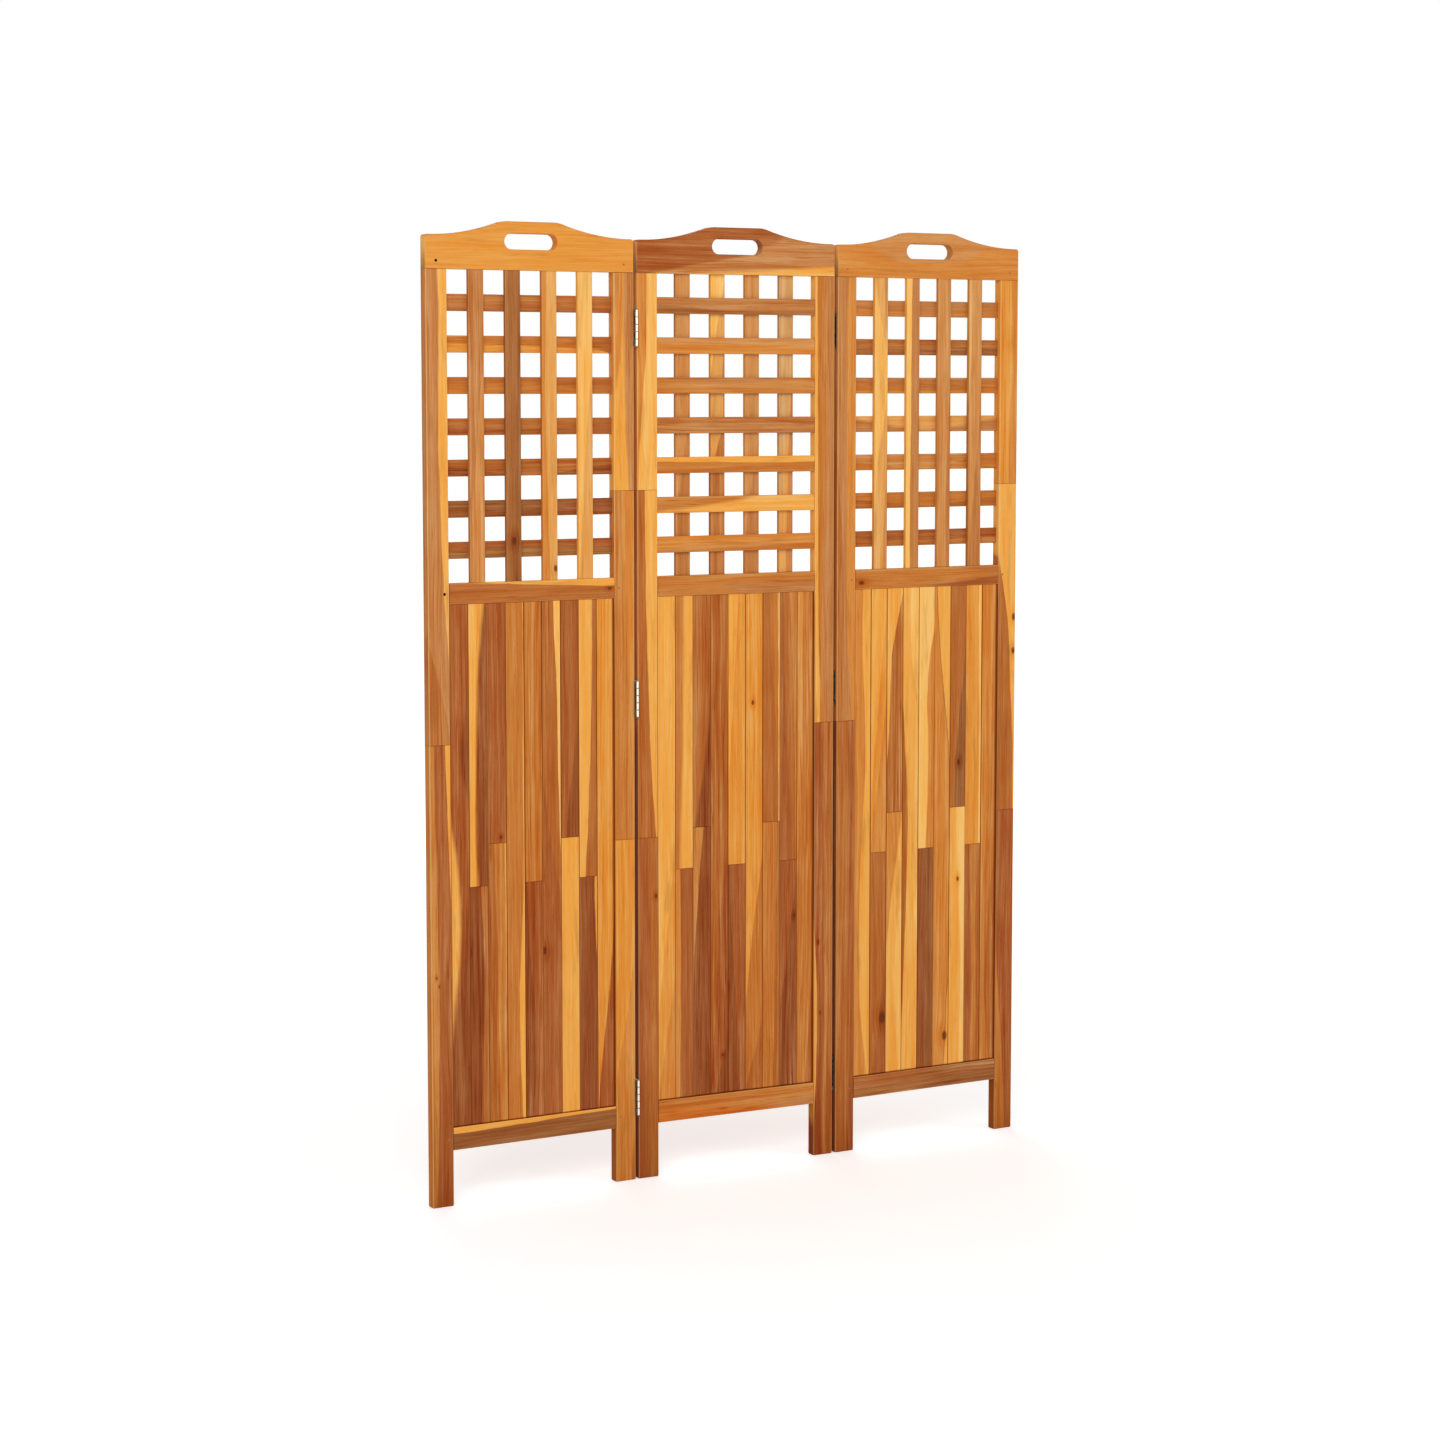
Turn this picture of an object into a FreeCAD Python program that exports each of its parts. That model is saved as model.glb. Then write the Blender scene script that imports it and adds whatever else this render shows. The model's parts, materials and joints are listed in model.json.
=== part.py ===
"""Three-panel folding room divider in solid acacia.

Each panel is a mortised frame with an overlaid lattice above and upright boards below. The middle
panel is the same panel turned round. Butt hinges join the panels: at the left joint their barrels
stand in front of the faces, at the right joint behind them, so the screen folds up as a zigzag.

Millimetres. The frame's origin is the middle of the middle panel's foot line: +X to the right,
+Y to the back, +Z up. A panel's own frame is the same, about its own middle.
"""
import FreeCAD
import Part

import math
import os
import re

import Sketcher

SIZES = [
    # the whole screen
    ("panel_width", 400.0, "outside width of one panel"),
    ("side_height", 1675.0, "floor to the top rail's ends"),
    ("panel_thickness", 20.0, "thickness of stiles and rails"),
    ("fold_angle", 2.4, "turn of each outer panel at rest, degrees"),
    # the frame
    ("stile_width", 40.0, "width of an upright frame member"),
    ("leg_height", 98.0, "floor to the underside of the bottom rail"),
    ("bottom_rail_width", 40.0, "height of the bottom rail"),
    ("mid_rail_width", 36.0, "height of the mid rail"),
    ("lattice_height", 533.0, "mid rail to top rail"),
    ("top_rail_height", 58.0, "height of the top rail at its ends"),
    ("edge_ease", 2.0, "flat on every long edge of the frame"),
    ("foot_ease", 2.0, "flat round the end of a leg"),
    # the top rail's outline and hand slot
    ("hump_rise", 25.0, "raised middle above the rail's ends"),
    ("hump_flat", 90.0, "straight stretch on top of the raised middle"),
    ("hump_shoulder", 50.0, "radius where the sweep meets that stretch"),
    ("corner_round", 5.0, "radius of the rail's outer corners"),
    ("grip_length", 101.0, "hand slot, end to end"),
    ("grip_height", 27.0, "hand slot, across"),
    ("grip_drop", 34.0, "top of the raised middle to the slot's middle"),
    ("grip_ease", 1.5, "flat round the hand slot"),
    # joints of the frame
    ("joint_clearance", 0.2, "room round a tenon or tongue"),
    ("mortise_end_room", 1.0, "room past the end of a tenon"),
    ("rail_tenon_length", 26.0, "rail tenon into a stile"),
    ("rail_tenon_shoulder", 5.0, "rail edge to its tenon"),
    ("frame_tenon_thickness", 8.0, "thickness of rail and stile tenons"),
    ("stile_tenon_length", 30.0, "stile tenon into the top rail"),
    ("stile_tenon_width", 26.0, "width of that tenon"),
    ("nail_diameter", 2.6, "nails through the tenons"),
    ("nail_length", 15.0, "nail, from the face inwards"),
    ("nail_clearance", 0.05, "radial room round a nail or screw"),
    ("top_nail_rise", 14.0, "nail above the top rail's underside"),
    ("rail_nail_inset", 9.0, "nail from the stile's inner edge"),
    # the lattice
    ("upright_count", 4, "uprights in one lattice"),
    ("crossbar_count", 7, "crossbars in one lattice"),
    ("slat_width", 29.0, "width of a lattice slat"),
    ("slat_thickness", 8.0, "thickness of a lattice slat"),
    ("slat_ease", 1.0, "flat on a slat's long edges"),
    ("slat_tenon_length", 10.0, "stub tenon on a slat"),
    ("slat_tenon_shoulder", 3.0, "slat edge to its stub tenon"),
    ("slat_tenon_thickness", 5.0, "thickness of that tenon"),
    # the boards
    ("board_count", 9, "upright boards side by side"),
    ("board_thickness", 16.0, "thickness of a board"),
    ("board_gap", 0.3, "room between two boards"),
    ("board_ease", 1.4, "flat on a board's long edges"),
    ("tongue_thickness", 5.0, "tongues on the boards' edges and ends"),
    ("side_tongue_length", 4.0, "tongue into the next board"),
    ("end_tongue_length", 6.0, "tongue into a rail"),
    # the hinges
    ("hinge_gap", 6.0, "stile to stile at a joint, and the barrel's diameter"),
    ("hinge_stand_off", 3.3, "pin line in front of the panels' faces"),
    ("hinge_length", 64.0, "length of a hinge"),
    ("hinge_reach", 19.0, "pin line to a leaf's free edge"),
    ("leaf_thickness", 1.2, "thickness of a leaf"),
    ("knuckle_count", 5, "knuckles in one barrel"),
    ("knuckle_gap", 0.25, "room between two knuckles"),
    ("pin_diameter", 3.0, "hinge pin"),
    ("pin_clearance", 0.05, "radial room round the pin"),
    ("pin_head_diameter", 4.6, "button at each end of the pin"),
    ("pin_head_height", 1.0, "height of that button"),
    ("top_hinge_drop", 154.0, "top rail's ends to the top hinge's middle"),
    ("middle_hinge_height", 868.0, "floor to the middle hinge's middle"),
    ("bottom_hinge_height", 150.0, "floor to the bottom hinge's middle"),
    # the hinge screws
    ("screw_diameter", 3.0, "screw below its head"),
    ("screw_tip_diameter", 1.6, "screw at its tip"),
    ("screw_length", 12.0, "screw with its head"),
    ("screw_line", 12.3, "pin line to the middle of the screws"),
    ("screw_stagger", 2.0, "screw off that middle"),
    ("screw_spread", 22.0, "outer screws above and below the hinge's middle"),
    # cutting
    ("overrun", 1.0, "how far a cut starts outside the wood"),
]

# Lengths worked out from the sizes above, written as formulas
INNER_WIDTH = "(panel_width - 2 * stile_width)"
STILE_LENGTH = "(side_height - top_rail_height)"
MID_RAIL_TOP = f"({STILE_LENGTH} - lattice_height)"
BOARDS_TOP = f"({MID_RAIL_TOP} - mid_rail_width)"
BOARDS_BOTTOM = "(leg_height + bottom_rail_width)"
BOARDS_HEIGHT = f"({BOARDS_TOP} - {BOARDS_BOTTOM})"
UPRIGHT_GAP = f"(({INNER_WIDTH} - upright_count * slat_width) / (upright_count + 1))"
CROSSBAR_GAP = "((lattice_height - crossbar_count * slat_width) / (crossbar_count + 1))"
LOWEST_CROSSBAR = f"({CROSSBAR_GAP} + slat_width / 2)"
BOARD_PITCH = f"({INNER_WIDTH} / board_count)"
JOINT_SIDE = "((panel_width + hinge_gap) / 2)"
JOINT_FRONT = "(panel_thickness / 2 + hinge_stand_off)"
SCREW_HEAD_RADIUS = "(screw_diameter / 2 + leaf_thickness)"

HINGE_HEIGHTS = {
    "top": "(side_height - top_hinge_drop)",
    "middle": "middle_hinge_height",
    "bottom": "bottom_hinge_height",
}

# Each panel's turn and place. The hinged edges are in the panel's own frame: the side is +1 for its
# right edge, the face is -1 where the barrels stand in front of it and +1 where they stand behind.
FOLD_X = f"({JOINT_SIDE} + {JOINT_SIDE} * cos(fold_angle) + {JOINT_FRONT} * sin(fold_angle))"
FOLD_Y = f"({JOINT_FRONT} + {JOINT_SIDE} * sin(fold_angle) - {JOINT_FRONT} * cos(fold_angle))"
PANELS = {
    "left": {"turn": "fold_angle", "x": f"-{FOLD_X}", "y": f"-{FOLD_Y}", "hinged": [(1, -1)]},
    "middle": {"turn": "180", "x": "0", "y": "0", "hinged": [(1, 1), (-1, -1)]},
    "right": {"turn": "fold_angle", "x": FOLD_X, "y": FOLD_Y, "hinged": [(-1, 1)]},
}

# Size or angle at which something starts before it is tied to the sheet
LOOSE = 1.0

doc = FreeCAD.newDocument("room_divider")
sheet = doc.addObject("Spreadsheet::Sheet", "Sizes")
sub_parts = []


def fill_sheet():
    """Write each size into the sheet, with its name as the cell's alias."""
    for row, (name, value, meaning) in enumerate(SIZES, 1):
        sheet.set(f"A{row}", name)
        sheet.set(f"B{row}", str(value))
        sheet.set(f"C{row}", meaning)
        sheet.setAlias(f"B{row}", name)
    doc.recompute()


def size(name):
    """One size as a number."""
    return float(sheet.get(name))


def formula(text):
    """Point each size named in a formula at its cell in the sheet."""
    names = {name for name, _value, _meaning in SIZES}
    return re.sub(
        "[a-z_]+",
        lambda word: f"Sizes.{word.group(0)}" if word.group(0) in names else word.group(0),
        text,
    )


def bind(thing, prop, text):
    """Tie a property to a formula in the sheet's sizes."""
    thing.setExpression(prop, formula(text))


def place(part, panel, x="0", y="0", z="0", turn="0"):
    """Put a sub-part at a point of its panel's own frame, turned about the upright axis."""
    panel_turn = PANELS[panel]["turn"]
    upright_axis = FreeCAD.Vector(0, 0, 1)
    part.Placement = FreeCAD.Placement(FreeCAD.Vector(), FreeCAD.Rotation(upright_axis, LOOSE))
    bind(part, "Placement.Rotation.Angle", f"{panel_turn} + {turn}")
    across = f"({x}) * cos({panel_turn}) - ({y}) * sin({panel_turn})"
    along = f"({x}) * sin({panel_turn}) + ({y}) * cos({panel_turn})"
    bind(part, "Placement.Base.x", f"{PANELS[panel]['x']} + {across}")
    bind(part, "Placement.Base.y", f"{PANELS[panel]['y']} + {along}")
    bind(part, "Placement.Base.z", z)


def new_body(name):
    """A sub-part's body, whose label names its file."""
    body = doc.addObject("PartDesign::Body", name)
    body.Label = name
    sub_parts.append(body)
    return body


def new_sketch(body, name, plane, lift="0"):
    """A sketch on one of the body's own planes, or lifted from it along the plane's normal."""
    sketch = body.newObject("Sketcher::SketchObject", f"{body.Name}_{name}")
    support = next(item for item in body.Origin.OriginFeatures if item.Role == f"{plane}_Plane")
    sketch.AttachmentSupport = [(support, "")]
    sketch.MapMode = "FlatFace"
    bind(sketch, "AttachmentOffset.Base.z", lift)
    return sketch


def hold(sketch, kind, *ends, at, text):
    """Add a dimension to a sketch and tie it to a formula. It starts at the value at."""
    index = sketch.addConstraint(Sketcher.Constraint(kind, *ends, at))
    name = "_".join([kind, *(str(end).replace("-", "from") for end in ends)])
    sketch.renameConstraint(index, name)
    bind(sketch, f"Constraints.{name}", text)


def fix_point(sketch, geometry, point, x, y):
    """Hold a point of the sketch at two formulas from the sketch's origin."""
    now = sketch.getPoint(geometry, point)
    hold(sketch, "DistanceX", -1, 1, geometry, point, at=now.x, text=x)
    hold(sketch, "DistanceY", -1, 1, geometry, point, at=now.y, text=y)


def draw_loose_outline(sketch, count):
    """A closed outline of so many straight lines. It starts as a regular one of radius LOOSE."""
    first = sketch.GeometryCount
    turns = [math.pi * (2 * index - 1) / count for index in range(count + 1)]
    loose = [FreeCAD.Vector(math.cos(turn), math.sin(turn), 0) * LOOSE for turn in turns]
    lines = [Part.LineSegment(loose[index], loose[index + 1]) for index in range(count)]
    sketch.addGeometry(lines, False)
    joints = []
    for index in range(count):
        following = first + (index + 1) % count
        joints.append(Sketcher.Constraint("Coincident", first + index, 2, following, 1))
    sketch.addConstraint(joints)
    return first


def draw_outline(sketch, corners):
    """A closed outline of straight lines through corners, each a pair of formulas."""
    first = draw_loose_outline(sketch, len(corners))
    for index, (x, y) in enumerate(corners):
        fix_point(sketch, first + index, 1, x, y)


def draw_rectangle(sketch, x, y, width, height):
    """A rectangle about the point x, y."""
    right = draw_loose_outline(sketch, 4)
    top = right + 1
    sketch.addConstraint(
        [
            Sketcher.Constraint("Vertical", right),
            Sketcher.Constraint("Horizontal", top),
            Sketcher.Constraint("Vertical", right + 2),
            Sketcher.Constraint("Horizontal", right + 3),
        ]
    )
    tall = sketch.getPoint(right, 2).y - sketch.getPoint(right, 1).y
    wide = sketch.getPoint(top, 1).x - sketch.getPoint(top, 2).x
    hold(sketch, "DistanceY", right, 1, right, 2, at=tall, text=height)
    hold(sketch, "DistanceX", top, 2, top, 1, at=wide, text=width)
    fix_point(sketch, top, 1, f"({x}) + ({width}) / 2", f"({y}) + ({height}) / 2")


def draw_eased_rectangle(sketch, width, height, ease):
    """A rectangle about the sketch's origin with a flat across each corner."""
    first = draw_loose_outline(sketch, 8)
    about_x = [(0, 1), (2, 7), (3, 6)]
    about_y = [(2, 3), (1, 4), (0, 5)]
    mirrored = []
    for axis, pairs in ((-1, about_x), (-2, about_y)):
        for one, other in pairs:
            mirrored.append(Sketcher.Constraint("Symmetric", first + one, 1, first + other, 1, axis))
    sketch.addConstraint(mirrored)
    fix_point(sketch, first + 1, 1, f"({width}) / 2", f"({height}) / 2 - {ease}")
    fix_point(sketch, first + 2, 1, f"({width}) / 2 - {ease}", f"({height}) / 2")


def draw_circle(sketch, x, y, radius):
    """A circle about the point x, y."""
    index = sketch.GeometryCount
    circle = Part.Circle(FreeCAD.Vector(0, 0, 0), FreeCAD.Vector(0, 0, 1), LOOSE)
    sketch.addGeometry(circle, False)
    fix_point(sketch, index, 3, x, y)
    hold(sketch, "Radius", index, at=LOOSE, text=radius)


def pad(body, sketch, length, symmetric=False, reverse=False):
    """Add the sketch's outline to the body as a prism."""
    feature = body.newObject("PartDesign::Pad", f"{sketch.Name}_pad")
    feature.Profile = sketch
    bind(feature, "Length", length)
    feature.SideType = "Symmetric" if symmetric else "One side"
    feature.Reversed = reverse
    sketch.Visibility = False
    return feature


def pocket(body, sketch, depth, reverse=False, symmetric=False):
    """Cut the sketch's outline out of the body, against the sketch's normal or, reversed, along it."""
    feature = body.newObject("PartDesign::Pocket", f"{sketch.Name}_cut")
    feature.Profile = sketch
    bind(feature, "Length", depth)
    feature.SideType = "Symmetric" if symmetric else "One side"
    feature.Reversed = reverse
    sketch.Visibility = False
    return feature


def repeat(body, features, axis, pitch, count):
    """Repeat features along one of the body's own axes."""
    pattern = body.newObject("PartDesign::LinearPattern", f"{features[0].Name}_pattern")
    pattern.Originals = features
    direction = next(item for item in body.Origin.OriginFeatures if item.Role == f"{axis}_Axis")
    pattern.Direction = (direction, [""])
    pattern.Mode = "Spacing"
    bind(pattern, "Offset", pitch)
    bind(pattern, "Occurrences", count)
    body.Tip = pattern


def ease_edges(body, feature, name, ease, wanted):
    """Chamfer the edges of a feature that the test wanted picks."""
    doc.recompute()
    edges = [f"Edge{index}" for index, edge in enumerate(feature.Shape.Edges, 1) if wanted(edge)]
    chamfer = body.newObject("PartDesign::Chamfer", f"{body.Name}_{name}")
    chamfer.Base = (feature, edges)
    bind(chamfer, "Size", ease)
    return chamfer


def upright_x(index):
    """Middle of a lattice upright, counted from the panel's left."""
    step = f"({UPRIGHT_GAP} + slat_width)"
    return f"(-{INNER_WIDTH} / 2 + {step} * {index} + {UPRIGHT_GAP} + slat_width / 2)"


def mortise(width):
    """A tenon's width with room on both sides."""
    return f"({width} + 2 * joint_clearance)"


def slat_tenon_width():
    """Width of the stub tenon on a lattice slat."""
    return "(slat_width - 2 * slat_tenon_shoulder)"


def cut_upright_mortises(body, lift, reverse):
    """Four stub mortises for the lattice uprights, in a rail's face at the height lift."""
    sketch = new_sketch(body, "upright_mortises", "XY", lift)
    width = mortise(slat_tenon_width())
    thickness = mortise("slat_tenon_thickness")
    draw_rectangle(sketch, upright_x(0), "-slat_thickness / 2", width, thickness)
    first = pocket(body, sketch, "slat_tenon_length + mortise_end_room", reverse)
    repeat(body, [first], "X", f"{UPRIGHT_GAP} + slat_width", "upright_count")


def cut_nail_holes(body, places):
    """Holes for nails that go in from the panel's nailed face."""
    sketch = new_sketch(body, "nail_holes", "XZ", "panel_thickness / 2")
    for x, z in places:
        draw_circle(sketch, x, z, "nail_diameter / 2 + nail_clearance")
    pocket(body, sketch, "nail_length + nail_clearance")


def draw_top_rail_outline(sketch):
    """The top rail from the front: straight foot and ends, swept shoulders, raised middle.

    Each shoulder is three arcs that run into each other: the rounded corner, a long hollow sweep
    that starts level, and a short crown that ends level on the raised middle.
    """
    half = size("panel_width") / 2
    side = size("top_rail_height")
    corner = size("corner_round")
    flat = size("hump_flat") / 2
    crown = size("hump_shoulder")
    rise = size("hump_rise")
    reach = half - corner - flat
    sweep = (reach ** 2 + rise ** 2) / (2 * rise) - crown
    lean = math.atan2(reach, sweep + crown - rise)
    up = math.pi / 2

    def arc(x, y, radius, start, end):
        circle = Part.Circle(FreeCAD.Vector(x, y, 0), FreeCAD.Vector(0, 0, 1), radius)
        return Part.ArcOfCircle(circle, start, end)

    def line(x_from, y_from, x_to, y_to):
        return Part.LineSegment(FreeCAD.Vector(x_from, y_from, 0), FreeCAD.Vector(x_to, y_to, 0))

    # 0 foot, 1 right end, 2 right corner, 3 right sweep, 4 right crown, 5 raised middle,
    # 6 left crown, 7 left sweep, 8 left corner, 9 left end
    sketch.addGeometry(
        [
            line(-half, 0, half, 0),
            line(half, 0, half, side - corner),
            arc(half - corner, side - corner, corner, 0, up),
            arc(half - corner, side + sweep, sweep, -up - lean, -up),
            arc(flat, side + rise - crown, crown, up - lean, up),
            line(flat, side + rise, -flat, side + rise),
            arc(-flat, side + rise - crown, crown, up, up + lean),
            arc(corner - half, side + sweep, sweep, -up, -up + lean),
            arc(corner - half, side - corner, corner, up, 2 * up),
            line(-half, side - corner, -half, 0),
        ],
        False,
    )
    joints = [
        ("Coincident", 0, 2, 1, 1),
        ("Tangent", 1, 2, 2, 1),
        ("Tangent", 2, 2, 3, 2),
        ("Tangent", 3, 1, 4, 1),
        ("Tangent", 4, 2, 5, 1),
        ("Tangent", 5, 2, 6, 1),
        ("Tangent", 6, 2, 7, 2),
        ("Tangent", 7, 1, 8, 1),
        ("Tangent", 8, 2, 9, 1),
        ("Coincident", 9, 2, 0, 1),
    ]
    for kind, *ends in joints:
        sketch.addConstraint(Sketcher.Constraint(kind, *ends))
    sketch.addConstraint(Sketcher.Constraint("Vertical", 1))
    sketch.addConstraint(Sketcher.Constraint("Vertical", 9))
    fix_point(sketch, 0, 1, "-panel_width / 2", "0")
    fix_point(sketch, 0, 2, "panel_width / 2", "0")
    fix_point(sketch, 5, 1, "hump_flat / 2", "top_rail_height + hump_rise")
    fix_point(sketch, 5, 2, "-hump_flat / 2", "top_rail_height + hump_rise")
    fix_point(sketch, 2, 2, "panel_width / 2 - corner_round", "top_rail_height")
    fix_point(sketch, 8, 1, "corner_round - panel_width / 2", "top_rail_height")
    radii = {2: "corner_round", 4: "hump_shoulder", 6: "hump_shoulder", 8: "corner_round"}
    for index, radius in radii.items():
        hold(sketch, "Radius", index, at=size(radius), text=radius)


def draw_grip(sketch):
    """The hand slot: two straight sides and two half-round ends."""
    level = size("top_rail_height") + size("hump_rise") - size("grip_drop")
    radius = size("grip_height") / 2
    straight = size("grip_length") / 2 - radius
    up = math.pi / 2
    for side, start in ((1, -up), (-1, up)):
        centre = FreeCAD.Vector(side * straight, level, 0)
        circle = Part.Circle(centre, FreeCAD.Vector(0, 0, 1), radius)
        sketch.addGeometry(Part.ArcOfCircle(circle, start, start + 2 * up), False)
    for side in (1, -1):
        start = FreeCAD.Vector(side * straight, level + side * radius, 0)
        end = FreeCAD.Vector(-side * straight, level + side * radius, 0)
        sketch.addGeometry(Part.LineSegment(start, end), False)
    for ends in ((0, 2, 2, 1), (2, 2, 1, 1), (1, 2, 3, 1), (3, 2, 0, 1)):
        sketch.addConstraint(Sketcher.Constraint("Tangent", *ends))
    middle = "top_rail_height + hump_rise - grip_drop"
    fix_point(sketch, 0, 3, "grip_length / 2 - grip_height / 2", middle)
    fix_point(sketch, 1, 3, "grip_height / 2 - grip_length / 2", middle)
    hold(sketch, "Radius", 0, at=radius, text="grip_height / 2")


def on_a_face(edge):
    """True for an edge that lies in the front or back face of a rail."""
    return edge.BoundBox.YLength < size("edge_ease") / 2


def at_the_foot(edge):
    """True for an edge of the lower end of a leg."""
    return edge.BoundBox.ZMax < size("foot_ease") / 2


def top_rail(panel):
    """The full-width top rail, which sits on both stiles."""
    body = new_body(f"{panel}_panel_top_rail")
    outline = new_sketch(body, "outline", "XZ")
    draw_top_rail_outline(outline)
    blank = pad(body, outline, "panel_thickness", symmetric=True)
    ease_edges(body, blank, "eased", "edge_ease", on_a_face)
    grip = new_sketch(body, "grip", "XZ")
    draw_grip(grip)
    slot = pocket(body, grip, "panel_thickness + 2 * overrun", symmetric=True)
    reach = size("grip_length") / 2
    low = size("top_rail_height") + size("hump_rise") - size("grip_drop") - size("grip_height") / 2
    high = low + size("grip_height")

    def round_the_grip(edge):
        box = edge.BoundBox
        inside = max(abs(box.XMin), abs(box.XMax)) < reach + size("edge_ease") / 2
        level = box.ZMin > low - size("edge_ease") / 2 and box.ZMax < high + size("edge_ease") / 2
        return on_a_face(edge) and inside and level

    ease_edges(body, slot, "grip_eased", "grip_ease", round_the_grip)
    cut_upright_mortises(body, "0", reverse=True)
    stile_mortises = new_sketch(body, "stile_mortises", "XY")
    nails = []
    for side in (-1, 1):
        middle = f"{side} * (panel_width - stile_width) / 2"
        draw_rectangle(
            stile_mortises, middle, "0", mortise("stile_tenon_width"), mortise("frame_tenon_thickness")
        )
        nails.append((middle, "top_nail_rise"))
    pocket(body, stile_mortises, "stile_tenon_length + mortise_end_room", reverse=True)
    cut_nail_holes(body, nails)
    place(body, panel, z=STILE_LENGTH)


def stile(panel, name, side):
    """An upright frame member. The side is +1 at the panel's right, in the panel's own frame."""
    body = new_body(f"{panel}_panel_{name}")
    section = new_sketch(body, "section", "XY")
    draw_eased_rectangle(section, "stile_width", "panel_thickness", "edge_ease")
    post = pad(body, section, STILE_LENGTH)
    ease_edges(body, post, "foot_eased", "foot_ease", at_the_foot)
    tenon = new_sketch(body, "tenon", "XY", "foot_ease")
    draw_rectangle(tenon, "0", "0", "stile_tenon_width", "frame_tenon_thickness")
    pad(body, tenon, f"{STILE_LENGTH} + stile_tenon_length - foot_ease")
    inner_face = f"-1 * {side} * stile_width / 2"
    inward = side > 0
    rails = new_sketch(body, "rail_mortises", "YZ", inner_face)
    rail_levels = [
        ("leg_height + bottom_rail_width / 2", "bottom_rail_width"),
        (f"{BOARDS_TOP} + mid_rail_width / 2", "mid_rail_width"),
    ]
    for level, width in rail_levels:
        tenon_height = mortise(f"({width} - 2 * rail_tenon_shoulder)")
        draw_rectangle(rails, "0", level, mortise("frame_tenon_thickness"), tenon_height)
    pocket(body, rails, "rail_tenon_length + mortise_end_room", inward)
    slats = new_sketch(body, "crossbar_mortises", "YZ", inner_face)
    lowest = f"{MID_RAIL_TOP} + {LOWEST_CROSSBAR}"
    thickness = mortise("slat_tenon_thickness")
    draw_rectangle(slats, "slat_thickness / 2", lowest, thickness, mortise(slat_tenon_width()))
    first = pocket(body, slats, "slat_tenon_length + mortise_end_room", inward)
    repeat(body, [first], "Z", f"{CROSSBAR_GAP} + slat_width", "crossbar_count")
    if side > 0:
        groove = new_sketch(body, "board_groove", "YZ", inner_face)
        middle = f"{BOARDS_BOTTOM} + {BOARDS_HEIGHT} / 2"
        draw_rectangle(groove, "0", middle, mortise("tongue_thickness"), BOARDS_HEIGHT)
        pocket(body, groove, "side_tongue_length + joint_clearance", inward)
    nail_x = f"{side} * (rail_nail_inset - stile_width / 2)"
    nails = [(nail_x, level) for level, _width in rail_levels]
    nails.append(("0", f"{STILE_LENGTH} + top_nail_rise"))
    cut_nail_holes(body, nails)
    for edge_side, face in PANELS[panel]["hinged"]:
        if edge_side == side:
            pilots = new_sketch(body, "pilot_holes", "YZ", f"{side} * stile_width / 2")
            for y, z in screw_places(face):
                draw_circle(pilots, y, z, "screw_diameter / 2 + nail_clearance")
            pocket(body, pilots, "screw_length - leaf_thickness + nail_clearance", not inward)
    place(body, panel, x=f"{side} * (panel_width - stile_width) / 2")


def rail(panel, name, width, level):
    """A mid or bottom rail, tenoned into both stiles."""
    body = new_body(f"{panel}_panel_{name}")
    section = new_sketch(body, "section", "YZ")
    draw_eased_rectangle(section, "panel_thickness", width, "edge_ease")
    pad(body, section, INNER_WIDTH, symmetric=True)
    tenon = new_sketch(body, "tenon", "YZ")
    draw_rectangle(tenon, "0", "0", "frame_tenon_thickness", f"{width} - 2 * rail_tenon_shoulder")
    pad(body, tenon, f"{INNER_WIDTH} + 2 * rail_tenon_length", symmetric=True)
    top_side = name == "bottom_rail"
    lift = f"{width} / 2" if top_side else f"-{width} / 2"
    groove = new_sketch(body, "board_groove", "XY", lift)
    draw_rectangle(groove, "0", "0", INNER_WIDTH, mortise("tongue_thickness"))
    pocket(body, groove, "end_tongue_length + joint_clearance", not top_side)
    if not top_side:
        cut_upright_mortises(body, f"{width} / 2", reverse=False)
    nail_x = f"({INNER_WIDTH} / 2 + rail_nail_inset)"
    cut_nail_holes(body, [(f"-{nail_x}", "0"), (nail_x, "0")])
    place(body, panel, z=level)


def upright(panel, name, index):
    """One lattice upright, in the layer by the panel's nailed face."""
    body = new_body(f"{panel}_panel_{name}")
    section = new_sketch(body, "section", "XY")
    draw_eased_rectangle(section, "slat_width", "slat_thickness", "slat_ease")
    pad(body, section, "lattice_height", symmetric=True)
    tenon = new_sketch(body, "tenon", "XY")
    draw_rectangle(tenon, "0", "0", slat_tenon_width(), "slat_tenon_thickness")
    pad(body, tenon, "lattice_height + 2 * slat_tenon_length", symmetric=True)
    middle = f"{MID_RAIL_TOP} + lattice_height / 2"
    place(body, panel, x=upright_x(index), y="-slat_thickness / 2", z=middle)


def crossbars(panel):
    """The lattice's crossbars, in the layer behind the uprights."""
    body = new_body(f"{panel}_panel_crossbars")
    section = new_sketch(body, "section", "YZ")
    draw_eased_rectangle(section, "slat_thickness", "slat_width", "slat_ease")
    bar = pad(body, section, INNER_WIDTH, symmetric=True)
    tenon = new_sketch(body, "tenon", "YZ")
    draw_rectangle(tenon, "0", "0", "slat_tenon_thickness", slat_tenon_width())
    ends = pad(body, tenon, f"{INNER_WIDTH} + 2 * slat_tenon_length", symmetric=True)
    repeat(body, [bar, ends], "Z", f"{CROSSBAR_GAP} + slat_width", "crossbar_count")
    place(body, panel, y="slat_thickness / 2", z=f"{MID_RAIL_TOP} + {LOWEST_CROSSBAR}")


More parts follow.
